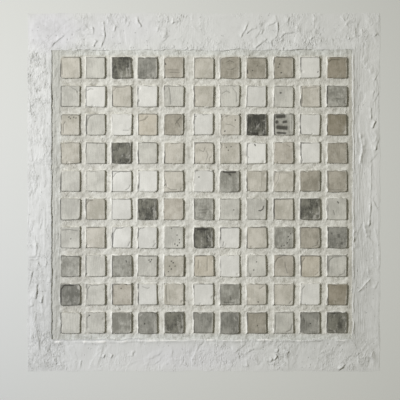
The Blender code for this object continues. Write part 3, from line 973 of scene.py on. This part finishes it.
# Marks on single stones: the mark, its half-width, and the points of its line, as shares of the
# stone's half-width and half-height from its middle.
stone_marks = {
    (1, 1): (("groove", 0.05, (-0.97, 0.80), (-0.90, 0.55), (-0.86, 0.0), (-0.82, -0.75)),),
    (1, 3): (("pale", 0.06, (0.50, 0.0), (0.62, -0.9)), ("pale", 0.05, (0.85, 0.7), (0.88, -0.9))),
    (1, 5): (
        ("groove", 0.03, (-0.7, -0.25), (0.6, -0.28)),
        ("groove", 0.03, (-0.5, -0.50), (0.7, -0.55)),
        ("dark", 0.06, (-0.95, 0.45), (-0.85, 0.25)),
    ),
    (1, 7): (
        ("groove", 0.03, (-0.4, 0.50), (0.0, 0.65), (0.5, 0.45)),
        ("groove", 0.03, (-0.3, -0.15), (0.2, -0.2), (0.6, 0.0)),
    ),
    (1, 8): (("dark", 0.05, (-0.95, -0.2), (-0.92, -0.6)), ("groove", 0.03, (0.0, 0.1), (0.2, 0.3))),
    (1, 11): (("groove", 0.05, (-0.90, 0.55), (-0.60, 0.80), (0.3, 0.75)),),
    (2, 1): (("groove", 0.04, (0.1, 0.88), (0.6, 0.65), (0.85, 0.35)),),
    (2, 2): (("groove", 0.04, (-0.90, 0.55), (-0.55, 0.75), (-0.2, 0.70)),),
    (2, 3): (("groove", 0.03, (-0.9, 0.5), (-0.6, 0.88), (0.5, 0.9)),),
    (2, 5): (
        ("groove", 0.05, (-0.65, 0.95), (-0.45, 0.70), (-0.38, 0.0), (-0.32, -0.9)),
        ("ridge", 0.05, (-0.95, 0.3), (-0.7, 0.6), (-0.5, 0.95)),
    ),
    (2, 7): (
        ("groove", 0.03, (0.3, 0.80), (0.72, 0.3), (0.78, -0.6)),
        ("groove", 0.03, (-0.8, 0.25), (-0.3, 0.5), (0.1, 0.3)),
    ),
    (2, 9): (("dark", 0.07, (-0.42, 0.35), (-0.22, 0.32)),),
    (2, 10): (("groove", 0.03, (-0.88, -0.8), (-0.86, 0.8), (0.8, 0.86)),),
    (2, 11): (
        ("groove", 0.03, (-0.1, -0.2), (0.3, -0.3), (0.8, -0.25)),
        ("groove", 0.03, (0.2, -0.75), (0.0, -0.5), (0.1, -0.3)),
    ),
    (3, 1): (("groove", 0.04, (-0.70, -0.85), (-0.75, 0.0), (-0.5, 0.35)),),
    (3, 2): (("groove", 0.05, (-0.92, -0.2), (-0.85, 0.5), (-0.6, 0.82), (-0.2, 0.95)),),
    (3, 3): (("groove", 0.03, (0.1, -0.55), (0.8, -0.58)),),
    (3, 4): (
        ("ridge", 0.06, (-0.95, 0.45), (-0.4, 0.60), (-0.1, 0.92)),
        ("groove", 0.04, (-0.95, 0.30), (-0.3, 0.45), (0.1, 0.80)),
    ),
    (3, 5): (
        ("groove", 0.05, (0.85, 0.75), (0.35, 0.25), (0.55, 0.05), (0.75, -0.35)),
        ("groove", 0.03, (0.35, 0.25), (0.2, 0.0)),
    ),
    (3, 7): (
        ("groove", 0.04, (-0.92, 0.3), (-0.75, 0.75), (-0.2, 0.88)),
        ("groove", 0.03, (-0.5, 0.05), (0.2, -0.05), (0.6, -0.3)),
    ),
    (3, 8): (("pale", 0.06, (0.80, -0.5), (0.72, -0.85)), ("dark", 0.12, (-0.6, -0.88), (0.2, -0.92))),
    (3, 9): (
        ("dark", 0.17, (-0.80, 0.74), (0.22, 0.78)),
        ("dark", 0.17, (-0.82, 0.32), (-0.62, 0.12)),
        ("dark", 0.13, (-0.12, 0.20), (0.36, 0.25)),
        ("dark", 0.19, (-0.78, -0.28), (0.40, -0.38)),
        ("dark", 0.10, (-0.80, -0.82), (0.25, -0.88)),
        ("pale", 0.08, (0.72, 0.9), (0.75, -0.7)),
    ),
    (4, 5): (("ridge", 0.04, (-0.6, 0.70), (0.0, 0.82), (0.8, 0.78)),),
    (4, 6): (
        ("groove", 0.03, (0.2, 0.3), (0.5, -0.2), (0.3, -0.7)),
        ("groove", 0.03, (-0.5, 0.3), (0.0, 0.1), (0.2, 0.6)),
        ("groove", 0.03, (0.9, -0.3), (0.6, -0.55), (0.7, -0.9)),
    ),
    (4, 8): (("dark", 0.06, (-0.2, 0.90), (-0.08, 0.70)), ("groove", 0.04, (-0.95, -0.3), (-0.75, -0.5))),
    (4, 9): (("groove", 0.03, (0.3, 0.80), (0.8, 0.5)),),
    (4, 10): (("groove", 0.05, (-1.0, 0.4), (-0.98, -0.4), (-0.85, -0.9)),),
    (5, 1): (("groove", 0.04, (-0.95, 0.9), (-0.88, -0.9)), ("pale", 0.04, (-0.2, 0.9), (-0.45, 0.5))),
    (5, 3): (
        ("groove", 0.03, (-0.9, 0.4), (-0.6, 0.82), (-0.1, 0.95)),
        ("groove", 0.04, (0.4, -0.92), (0.78, -0.7), (0.95, -0.3)),
    ),
    (5, 4): (("groove", 0.04, (-0.86, 0.85), (-0.92, -0.8)),),
    (5, 5): (
        ("groove", 0.04, (-0.88, 0.2), (-0.75, -0.6), (-0.3, -0.85), (0.4, -0.88)),
        ("pale", 0.04, (0.86, 0.4), (0.86, -0.4)),
    ),
    (5, 7): (
        ("dark", 0.10, (-0.75, 0.92), (0.0, 0.86), (0.7, 0.92)),
        ("dark", 0.05, (-0.1, 0.7), (0.2, 0.6)),
    ),
    (5, 8): (("ridge", 0.04, (0.4, 0.9), (0.45, -0.6)),),
    (5, 9): (
        ("ridge", 0.06, (-0.95, -0.8), (-0.5, 0.2), (-0.4, 0.8)),
        ("groove", 0.03, (0.6, 0.85), (-0.45, 0.85), (-0.55, 0.2), (-0.9, -0.5)),
    ),
    (5, 11): (("groove", 0.03, (-0.9, 0.85), (-0.9, -0.85), (0.8, -0.87)),),
    (6, 2): (("groove", 0.05, (-0.95, 0.4), (-0.75, 0.80), (-0.2, 0.90)),),
    (6, 4): (("pale", 0.05, (0.85, 0.8), (0.88, -0.9)),),
    (6, 6): (
        ("groove", 0.03, (-0.6, -0.1), (0.6, -0.05)),
        ("groove", 0.03, (-0.7, -0.4), (0.3, -0.35)),
        ("groove", 0.04, (-0.9, -0.75), (-0.4, -0.92), (0.1, -0.82)),
    ),
    (6, 8): (
        ("dark", 0.04, (0.80, 0.35), (0.70, 0.0), (0.45, -0.18), (0.2, -0.15)),
        ("pale", 0.06, (0.62, 0.30), (0.52, 0.05)),
    ),
    (6, 9): (("ridge", 0.05, (0.3, 0.9), (0.85, 0.5)),),
    (6, 11): (("dark", 0.05, (0.05, 0.75), (0.2, 0.55)), ("groove", 0.04, (-0.4, -0.1), (-0.2, -0.6))),
    (7, 1): (("groove", 0.04, (-0.9, 0.75), (0.0, 0.80), (0.9, 0.65)),),
    (7, 3): (
        ("groove", 0.05, (-0.95, -0.8), (-0.82, 0.5), (-0.6, 0.88), (0.2, 0.93)),
        ("groove", 0.05, (0.7, -0.9), (0.95, -0.4)),
    ),
    (7, 4): (("groove", 0.04, (0.6, -0.92), (0.95, -0.5)),),
    (7, 6): (("pale", 0.06, (0.9, 0.6), (0.9, -0.8)), ("dark", 0.10, (-0.7, 0.8), (0.6, 0.85))),
    (7, 7): (("groove", 0.05, (-0.75, -0.9), (-0.65, -0.4)), ("ridge", 0.05, (-0.6, -0.9), (-0.5, -0.5))),
    (7, 10): (("groove", 0.04, (0.2, -0.92), (0.75, -0.75), (0.92, -0.2)),),
    (7, 11): (
        ("groove", 0.20, (0.15, 0.35), (0.18, -0.05)),
        ("groove", 0.16, (0.40, -0.50), (0.62, -0.62)),
        ("groove", 0.10, (-0.65, 0.45), (-0.55, 0.30)),
    ),
    (8, 6): (
        ("groove", 0.03, (-0.55, 0.6), (-0.60, -0.3)),
        ("pale", 0.05, (-0.30, 0.3), (-0.35, -0.1)),
        ("groove", 0.03, (0.4, 0.9), (0.35, -0.6)),
    ),
    (8, 8): (("groove", 0.03, (-0.9, 0.9), (-0.88, -0.6), (-0.6, -0.9)),),
    (8, 9): (
        ("groove", 0.05, (-0.95, -0.9), (-0.92, 0.3), (-0.6, 0.8), (-0.1, 0.9)),
        ("groove", 0.04, (0.15, 0.4), (0.2, -0.1), (0.45, -0.8)),
    ),
    (8, 10): (
        ("groove", 0.05, (-0.95, -0.5), (-0.9, 0.4), (-0.55, 0.85)),
        ("groove", 0.03, (0.5, -0.9), (0.9, -0.6)),
    ),
    (8, 11): (
        ("groove", 0.05, (-0.88, -0.7), (-0.85, 0.5), (-0.4, 0.85), (0.6, 0.9)),
        ("groove", 0.04, (0.2, -0.95), (0.75, -0.75), (0.95, -0.3)),
    ),
    (9, 1): (("dark", 0.05, (-0.95, -0.8), (-0.92, 0.5), (-0.6, 0.90), (0.5, 0.92)),),
    (9, 2): (("groove", 0.05, (-0.93, -0.5), (-0.90, 0.5), (-0.6, 0.9)),),
    (9, 3): (("groove", 0.04, (-0.87, 0.7), (-0.82, -0.3)),),
    (9, 4): (("groove", 0.03, (-0.6, 0.80), (0.0, 0.6), (0.3, 0.7)),),
    (9, 5): (
        ("groove", 0.04, (-0.8, 0.9), (-0.86, 0.2), (-0.7, -0.9)),
        ("ridge", 0.04, (-0.6, 0.5), (-0.5, -0.7)),
    ),
    (9, 7): (("groove", 0.09, (0.05, -0.25), (0.12, -0.60)), ("groove", 0.07, (-0.7, -0.80), (0.5, -0.88))),
    (9, 8): (("dark", 0.05, (0.15, -0.72), (0.22, -0.85)), ("groove", 0.03, (0.3, 0.5), (0.9, 0.9))),
    (9, 9): (("groove", 0.04, (0.6, -0.9), (0.9, -0.6)),),
    (9, 10): (("groove", 0.05, (-0.95, -0.7), (-0.92, 0.5), (-0.6, 0.87)),),
    (10, 2): (("groove", 0.04, (-0.86, -0.5), (-0.86, 0.5), (-0.6, 0.8)),),
    (10, 4): (("pale", 0.04, (0.8, 0.2), (0.82, -0.8)), ("pale", 0.07, (-0.9, 0.65), (-0.55, 0.92))),
    (10, 5): (("pale", 0.05, (0.85, 0.7), (0.88, -0.3)),),
    (10, 7): (("pale", 0.05, (0.45, 0.5), (0.75, 0.2)), ("pale", 0.04, (0.85, -0.2), (0.85, -0.8))),
    (10, 9): (
        ("groove", 0.05, (0.2, -0.95), (0.75, -0.72), (0.95, -0.1)),
        ("groove", 0.04, (-0.87, 0.8), (-0.9, -0.8)),
    ),
    (10, 10): (("groove", 0.05, (-0.7, 0.5), (-0.55, 0.1)),),
    (10, 11): (("groove", 0.26, (0.30, 0.05), (0.40, -0.60)), ("groove", 0.08, (-0.9, -0.75), (-0.4, -0.85))),
}
# Pits on single stones: where they lie, in the same shares.
stone_pits = {
    (1, 8): ((-0.45, -0.25),),
    (1, 9): ((-0.60, 0.05), (-0.45, 0.35), (-0.30, -0.50)),
    (1, 10): ((0.80, -0.45),),
    (3, 1): ((-0.15, 0.80), (0.0, 0.65), (0.40, 0.80), (0.65, 0.70)),
    (3, 6): ((-0.85, 0.80),),
    (3, 7): ((-0.60, -0.65), (0.55, 0.50)),
    (4, 7): ((-0.40, 0.60), (-0.20, 0.30), (0.10, 0.65)),
    (5, 6): ((-0.55, 0.40),),
    (6, 7): ((0.40, -0.05),),
    (7, 1): ((0.05, -0.10),),
    (7, 5): ((0.35, 0.25), (0.60, -0.20), (0.62, -0.50), (0.40, -0.75), (0.10, -0.62), (-0.30, 0.90)),
    (7, 9): ((0.45, 0.10), (0.60, -0.20), (0.35, -0.50), (0.0, -0.75), (-0.30, -0.82), (0.70, 0.40)),
    (8, 3): ((0.45, 0.50), (0.50, 0.40)),
    (8, 4): ((0.15, 0.62), (0.42, 0.66), (0.28, 0.45)),
    (8, 5): ((-0.30, 0.50), (-0.10, 0.35), (-0.50, 0.0), (-0.30, -0.30), (0.10, 0.0), (-0.60, -0.55)),
    (8, 8): ((0.0, 0.40), (-0.30, -0.40)),
    (9, 3): ((-0.10, 0.60),),
    (10, 2): ((-0.65, 0.75),),
    (10, 4): ((-0.35, -0.05),),
    (10, 8): ((0.05, -0.25),),
    (10, 10): ((0.0, -0.05),),
}
# Each kind of mark: how much it darkens the colour, and how deep it cuts. Dark marks are the stone's own; the
# dark of grooves and pits is painted shade; ridges and pale marks are plaster film.
mark_strengths = {
    "dark": (1.0, 0.0002),
    "pit": (1.5, 0.0003),
    "groove": (0.60, 0.0005),
    "ridge": (-0.35, -0.0005),
    "pale": (-0.5, -0.0001),
}


def finish_of(row, column):
    """The finish of a stone: some given in a list, the others drawn by lot for their part."""
    for finish, places in chosen_places.items():
        if (row, column) in places:
            return finish
    lot = random.Random(lot_of_stones + 100 * row + column)
    if row == 10:
        return lot.choice(("ash", "mist", "mist"))
    if column <= 2:
        return lot.choice(("mist", "bone"))
    if column <= 5:
        return lot.choice(("bone", "mist", "sand", "blush"))
    return lot.choice(("sand", "blush", "bone", "mist", "bone", "taupe"))


def make_stone_face():
    """Brushed, mottled and pitted stone with plaster left on its edges."""
    tree, given, result = new_group(
        "stone_face",
        {
            "Deep": ("Color", (0.3, 0.3, 0.3, 1.0)),
            "Pale": ("Color", (0.6, 0.6, 0.6, 1.0)),
            "Film Tint": ("Color", film_tint),
            "Streaks": ("Float", 0.5),
            "Mottling": ("Float", 0.5),
            "Pits": ("Float", 0.5),
            "Film": ("Float", 0.5),
        },
        {"Color": "Color", "Height": "Float"},
    )
    even = stretched(tree, 1.0, 1.0)
    brushed = stretched(tree, 1.0, 0.12)
    tone = noted(tree, "tone")
    rim = noted(tree, "rim")
    shoulder = noted(tree, "shoulder")
    streak = noise_of(tree, brushed, 420.0, 3.0, 0.6)
    mottle = noise_of(tree, even, 75.0, 5.0, 0.65)
    cloud = noise_of(tree, even, 28.0, 2.0, 0.5)
    grain = noise_of(tree, even, 430.0, 2.0, 0.7)
    cells = spots_of(tree, stretched(tree, 0.7, 1.2), 330.0)
    mark = noted(tree, "mark")
    upward = noted(tree, "upward")
    off_bottom = ramp(tree, upward, -0.99, -0.86)
    level = times(tree, scaled(tree, streak, 2.0), given["Streaks"])
    level = added(tree, level, times(tree, scaled(tree, mottle, 2.4), given["Mottling"]))
    level = added(tree, level, scaled(tree, cloud, 1.5))
    level = added(tree, level, scaled(tree, grain, 0.75))
    level = added(tree, level, added(tree, tone, 0.5))
    # Pits, darkened as painted shade.
    pit = times(tree, ramp(tree, cells, 0.10, 0.34, 1.0, 0.0), ramp(tree, mottle, 0.40, 0.48, 1.0, 0.0))
    pit = times(tree, pit, given["Pits"])
    level = less(tree, level, pit)
    stone = blend(tree, ramp(tree, level, -0.1, 1.1), given["Deep"], given["Pale"])
    # Plaster wiped thin along the edges, with a crisp and crooked inner border here and there; on the left
    # and top sides that border is drawn as a dark line of painted shade.
    wander = noise_of(tree, even, 70.0, 4.0, 0.55)
    reach = added(tree, scaled(tree, wander, 0.0110), 0.0003)
    past = less(tree, rim, reach)
    film = times(tree, ramp(tree, past, -0.0008, 0.0004, 0.5, 0.0), off_bottom)
    groove = times(tree, ramp(tree, past, -0.0008, 0.0), ramp(tree, past, 0.0002, 0.0010, 1.0, 0.0))
    groove = times(tree, groove, ramp(tree, shoulder, -0.2, 0.3))
    groove = times(tree, groove, ramp(tree, cloud, 0.40, 0.52))
    # The lit lip of plaster just inside the right side.
    lip = times(tree, ramp(tree, rim, 0.0000, 0.0006), ramp(tree, rim, 0.0012, 0.0022, 1.0, 0.0))
    lip = times(tree, lip, ramp(tree, shoulder, -0.45, -0.10, 0.85, 0.0))
    lip = times(tree, lip, ramp(tree, mottle, 0.40, 0.58))
    lip = times(tree, lip, off_bottom)
    smear = noise_of(tree, stretched(tree, 1.0, 0.6), 110.0, 5.0, 0.75)
    smear = added(tree, smear, times(tree, shoulder, -0.10))
    smear = times(tree, ramp(tree, smear, 0.54, 0.68, 0.0, 0.7), given["Film"])
    dots = spots_of(tree, even, 420.0)
    dots = times(tree, ramp(tree, dots, 0.14, 0.30, 1.0, 0.0), ramp(tree, rim, 0.0020, 0.0055, 1.0, 0.0))
    dots = times(tree, dots, ramp(tree, shoulder, -0.5, 0.1, 0.8, 0.0))
    chips = spots_of(tree, stretched(tree, 1.15, 0.9), 390.0)
    chips = times(tree, ramp(tree, chips, 0.12, 0.26, 0.55, 0.0), ramp(tree, cloud, 0.47, 0.55))
    chips = times(tree, chips, ramp(tree, rim, 0.0026, 0.0050, 1.0, 0.0))
    chips = times(tree, chips, ramp(tree, rim, 0.0004, 0.0010))
    film = larger(tree, film, lip)
    film = larger(tree, film, smear)
    film = larger(tree, film, times(tree, dots, given["Film"]))
    film = larger(tree, film, ramp(tree, mark, -0.8, -0.1, 0.8, 0.0))
    film = shade(tree, "Clamp", {0: less(tree, film, pit)})
    stone = blend(tree, film, stone, given["Film Tint"])
    # A line of shade in the crack where the plaster meets the left and top sides.
    crack = noted(tree, "crack")
    crack = times(tree, crack, ramp(tree, rim, 0.0008, 0.0024, 1.0, 0.0))
    crack = times(tree, crack, ramp(tree, cloud, 0.36, 0.50, 0.2, 1.0))
    # Darkened: the dark marks, which are the stone's own, and painted shade in the grooves, the pits and the
    # crack.
    dark = larger(tree, times(tree, groove, 0.65), ramp(tree, mark, 0.1, 0.9))
    dark = larger(tree, larger(tree, dark, crack), chips)
    stone = blend(tree, times(tree, dark, 0.86), stone, (0.045, 0.042, 0.035, 1.0))
    tree.links.new(stone, result["Color"])
    height = added(tree, scaled(tree, mottle, 0.00022), scaled(tree, streak, 0.00006))
    height = added(tree, height, scaled(tree, grain, 0.00009))
    height = added(tree, height, scaled(tree, cloud, 0.00080))
    height = added(tree, height, times(tree, pit, -0.00030))
    height = added(tree, height, times(tree, film, 0.00022))
    height = added(tree, height, times(tree, groove, -0.00025))
    tree.links.new(height, result["Height"])
    return tree


stone_face = make_stone_face()


def stone_material(name, deep, pale, streaks, mottling, pits, film, roughness):
    """One kind of stone."""
    settings = {"Deep": (*deep, 1.0), "Pale": (*pale, 1.0), "Streaks": streaks}
    settings |= {"Mottling": mottling, "Pits": pits, "Film": film}
    return grouped_material(name, stone_face, roughness, 0.3, settings)


def tumbled_stone(bm, place, dice, finish, marks, first):
    """One stone: a fine grid wrapped over the face, the worn edge and the foot in the bed."""
    made = bmesh.ops.create_grid(bm, x_segments=2 * stone_rings, y_segments=2 * stone_rings, size=1.0)
    verts = made["verts"]
    step_u = np.array([round(vert.co.x * stone_rings) for vert in verts])
    step_v = np.array([round(vert.co.y * stone_rings) for vert in verts])
    ring = np.maximum(np.maximum(np.abs(step_u), np.abs(step_v)), 1)
    share = np.minimum(ring / face_rings, 1.0)
    spread = np.interp(ring, edge_rings, (0.0004, 0.0007, 0.0009, 0.0011, 0.0014)) * share
    half_u = place["half_width"] * share + spread
    half_v = place["half_height"] * share + spread
    corner_sizes = [dice.choice((0.0012, 0.0016, 0.0022, 0.0030, 0.0052)) for _ in range(4)]
    corner = np.choose((step_u > 0) + 2 * (step_v > 0), corner_sizes) * share + spread
    u = step_u / ring * half_u
    v = step_v / ring * half_v
    over_u = np.abs(u) - (half_u - corner)
    over_v = np.abs(v) - (half_v - corner)
    round_off = (over_u > 0) & (over_v > 0)
    pull = np.where(round_off, corner / np.maximum(np.hypot(over_u, over_v), 1e-9), 1.0)
    pull = np.minimum(pull, 1.0)
    u = np.where(round_off, np.sign(u) * (half_u - corner + over_u * pull), u)
    v = np.where(round_off, np.sign(v) * (half_v - corner + over_v * pull), v)
    lean = [dice.gauss(0.0, 0.00035) for _ in range(4)]
    flat_u = u / place["half_width"]
    flat_v = v / place["half_height"]
    seed = dice.uniform(0, 50)
    ragged = share**3 * waves(u, v, 0.0060, 0.0060, seed)
    bow_u = lean[0] * flat_v + lean[1] * (1 - flat_v**2) + 0.00014 * ragged
    bow_v = lean[2] * flat_u + lean[3] * (1 - flat_u**2) + 0.00014 * ragged
    u = u + flat_u * bow_u
    v = v + flat_v * bow_v
    drop = np.interp(ring, (face_rings - 2, *edge_rings[:4]), (0.0, 0.00004, 0.00022, 0.0007, 0.0016))
    drop = drop + 0.00025 * waves(u, v, 0.014, 0.014, seed + 3) + 0.00008 * (flat_u**2 + flat_v**2)
    rim = np.minimum(place["half_width"], place["half_height"]) * (1 - ring / face_rings)
    for _ in range(dice.choice((0, 1, 1, 2))):
        chip_u = dice.choice((-1, 1)) * place["half_width"] * dice.uniform(0.8, 1.05)
        chip_v = dice.choice((-1, 1)) * place["half_height"] * dice.uniform(0.3, 1.05)
        if dice.random() < 0.5:
            chip_u, chip_v = chip_u * dice.uniform(0.2, 1.0), math.copysign(place["half_height"], chip_v)
        size = dice.uniform(0.0025, 0.0060)
        bite = eased(1 - np.hypot(u - chip_u, v - chip_v) / size, 0.0, 0.6)
        drop = drop + bite * dice.uniform(0.0005, 0.0016)
        rim = rim - bite * size * dice.uniform(0.0, 0.8)
    mark = np.zeros(len(verts))
    for kind, half_width, *points in marks:
        strength, cut = mark_strengths[kind]
        distance, _, from_end = from_line(flat_u, flat_v, points)
        blurred = 0.05 + 0.5 * half_width
        here = eased(distance, half_width + blurred, max(half_width - blurred, 0.0))
        here = here * eased(from_end, -0.04, 0.05)
        mark = np.where(np.abs(strength * here) > np.abs(mark), strength * here, mark)
        drop = drop + cut * here
    off_x, off_z = turned(u, v, -place["turn"])
    x = place["x"] + off_x
    z = place["z"] + off_z
    depth = np.where(ring == stone_rings, stone_foot, face_at(place, x, z) - drop)
    tone = dice.gauss(0.0, 0.13)
    shoulder = (flat_v - flat_u) / 2
    crack_left = 0.95 if first else dice.choice((0.1, 0.5, 0.8, 1.0))
    crack_top = dice.choice((0.0, 0.2, 0.4, 0.7))
    crack = np.maximum(crack_left * eased(-flat_u, 0.88, 0.95), crack_top * eased(flat_v, 0.88, 0.95))
    for index, vert in enumerate(verts):
        vert.co = (x[index], -depth[index], z[index])
    amounts = {"tone": np.full(len(verts), tone), "rim": rim, "shoulder": shoulder}
    amounts |= {"mark": mark, "upward": flat_v, "crack": crack}
    for name in noted_on_stones:
        note(verts, bm.verts.layers.float[name], amounts[name])
    faces = {face for vert in verts for face in vert.link_faces}
    foot = {edge for face in faces for edge in face.edges if edge.is_boundary}
    back = bmesh.ops.edgeloop_fill(bm, edges=list(foot))["faces"]
    for face in [*faces, *back]:
        face.material_index = finish
        face.smooth = True


stone_materials = [stone_material(name, *values) for name, values in finishes.items()]
for row, (node, course) in enumerate(zip(course_nodes, courses), start=1):
    stones = bmesh.new()
    for attribute in noted_on_stones:
        stones.verts.layers.float.new(attribute)
    for column, place in enumerate(course, start=1):
        finish = list(finishes).index(finish_of(row, column))
        marks = stone_marks.get((row, column), ())
        for pit_u, pit_v in stone_pits.get((row, column), ()):
            marks = (*marks, ("pit", pit_half_width, (pit_u, pit_v), (pit_u + 0.06, pit_v - 0.05)))
        tumbled_stone(stones, place, random.Random(100 * row + column), finish, marks, column == 1)
    piece_of(f"stones_{node}", stones, stone_materials, [node])


# The wall that the panel is fixed to: plain, pale and matt. It is a stage and no part of the
# panel, and it can be seen through from behind.
wall_size = 6.0
wall_gap = 0.00005
wall_sheet = upright_grid(1, 1, wall_size, wall_size)
bmesh.ops.translate(wall_sheet, vec=(0.0, wall_gap, 0.0), verts=wall_sheet.verts)
wall_mesh = bpy.data.meshes.new("wall")
wall_sheet.to_mesh(wall_mesh)
wall_sheet.free()
wall_paint = bpy.data.materials.new("wall_paint")
wall_paint.use_nodes = True
wall_tree = wall_paint.node_tree
paint = wall_tree.nodes["Principled BSDF"]
paint.inputs["Base Color"].default_value = (0.772, 0.784, 0.762, 1)
paint.inputs["Roughness"].default_value = 0.9
from_behind = shade(wall_tree, "NewGeometry", output="Backfacing")
clear = shade(wall_tree, "BsdfTransparent")
either = shade(wall_tree, "MixShader", {0: from_behind, 1: paint.outputs["BSDF"], 2: clear})
wall_tree.links.new(either, wall_tree.nodes["Material Output"].inputs["Surface"])
wall_mesh.materials.append(wall_paint)
wall = bpy.data.objects.new("wall", wall_mesh)
wall.visible_diffuse = False
wall.visible_shadow = False
bpy.context.scene.collection.objects.link(wall)


# The light: a soft lamp from the left and a little above, low over the wall so that it rakes the
# plaster, a weak cool one near the lower left, and an even, slightly warm light all round.
panel_middle = (cad_low + cad_high) / 2
key_distance = 4.0
key_off_wall = math.radians(42.0)
key_above = math.radians(20.5)
toward_key = Vector(
    (
        -math.cos(key_off_wall) * math.cos(key_above),
        -math.sin(key_off_wall),
        math.cos(key_off_wall) * math.sin(key_above),
    )
)


def soft_lamp(name, size, energy, color, location):
    """A round lamp that faces the panel's middle."""
    light = bpy.data.lights.new(name, "AREA")
    light.shape = "DISK"
    light.size = size
    light.energy = energy
    light.color = color
    lamp = bpy.data.objects.new(name, light)
    lamp.location = location
    lamp.rotation_euler = (lamp.location - panel_middle).to_track_quat("Z", "Y").to_euler()
    bpy.context.scene.collection.objects.link(lamp)
    return lamp


key_place = panel_middle + toward_key * key_distance
key = soft_lamp("key", 1.02, 16.1, (0.988, 0.985, 0.985), key_place)
key.data.spread = math.radians(60.0)
fill = soft_lamp("fill", 0.5, 0.70, (0.30, 0.42, 1.0), (-0.92, -0.60, -0.36))
fill.visible_camera = False
world = bpy.data.worlds.new("studio")
world.use_nodes = True
world.node_tree.nodes["Background"].inputs["Color"].default_value = (1.0, 0.965, 0.76, 1.0)
world.node_tree.nodes["Background"].inputs["Strength"].default_value = 0.20
bpy.context.scene.world = world
bpy.context.scene.view_settings.view_transform = "Standard"


# The camera looks straight at the wall. The panel lies a little right of and above the middle of
# the picture.
picture_pixels = 400
pixel_size = 0.00226
panel_centre_across = 203.7
panel_centre_down = 192.1
camera_data = bpy.data.cameras.new("camera")
camera_data.lens = 85.0
camera_data.sensor_width = 36.0
camera = bpy.data.objects.new("camera", camera_data)
camera_distance = picture_pixels * pixel_size * camera_data.lens / camera_data.sensor_width
camera.location = (
    panel_middle.x - (panel_centre_across - picture_pixels / 2) * pixel_size,
    cad_low.y - camera_distance,
    panel_middle.z + (panel_centre_down - picture_pixels / 2) * pixel_size,
)
camera.rotation_euler = (math.radians(90.0), 0.0, 0.0)
bpy.context.scene.collection.objects.link(camera)
bpy.context.scene.camera = camera
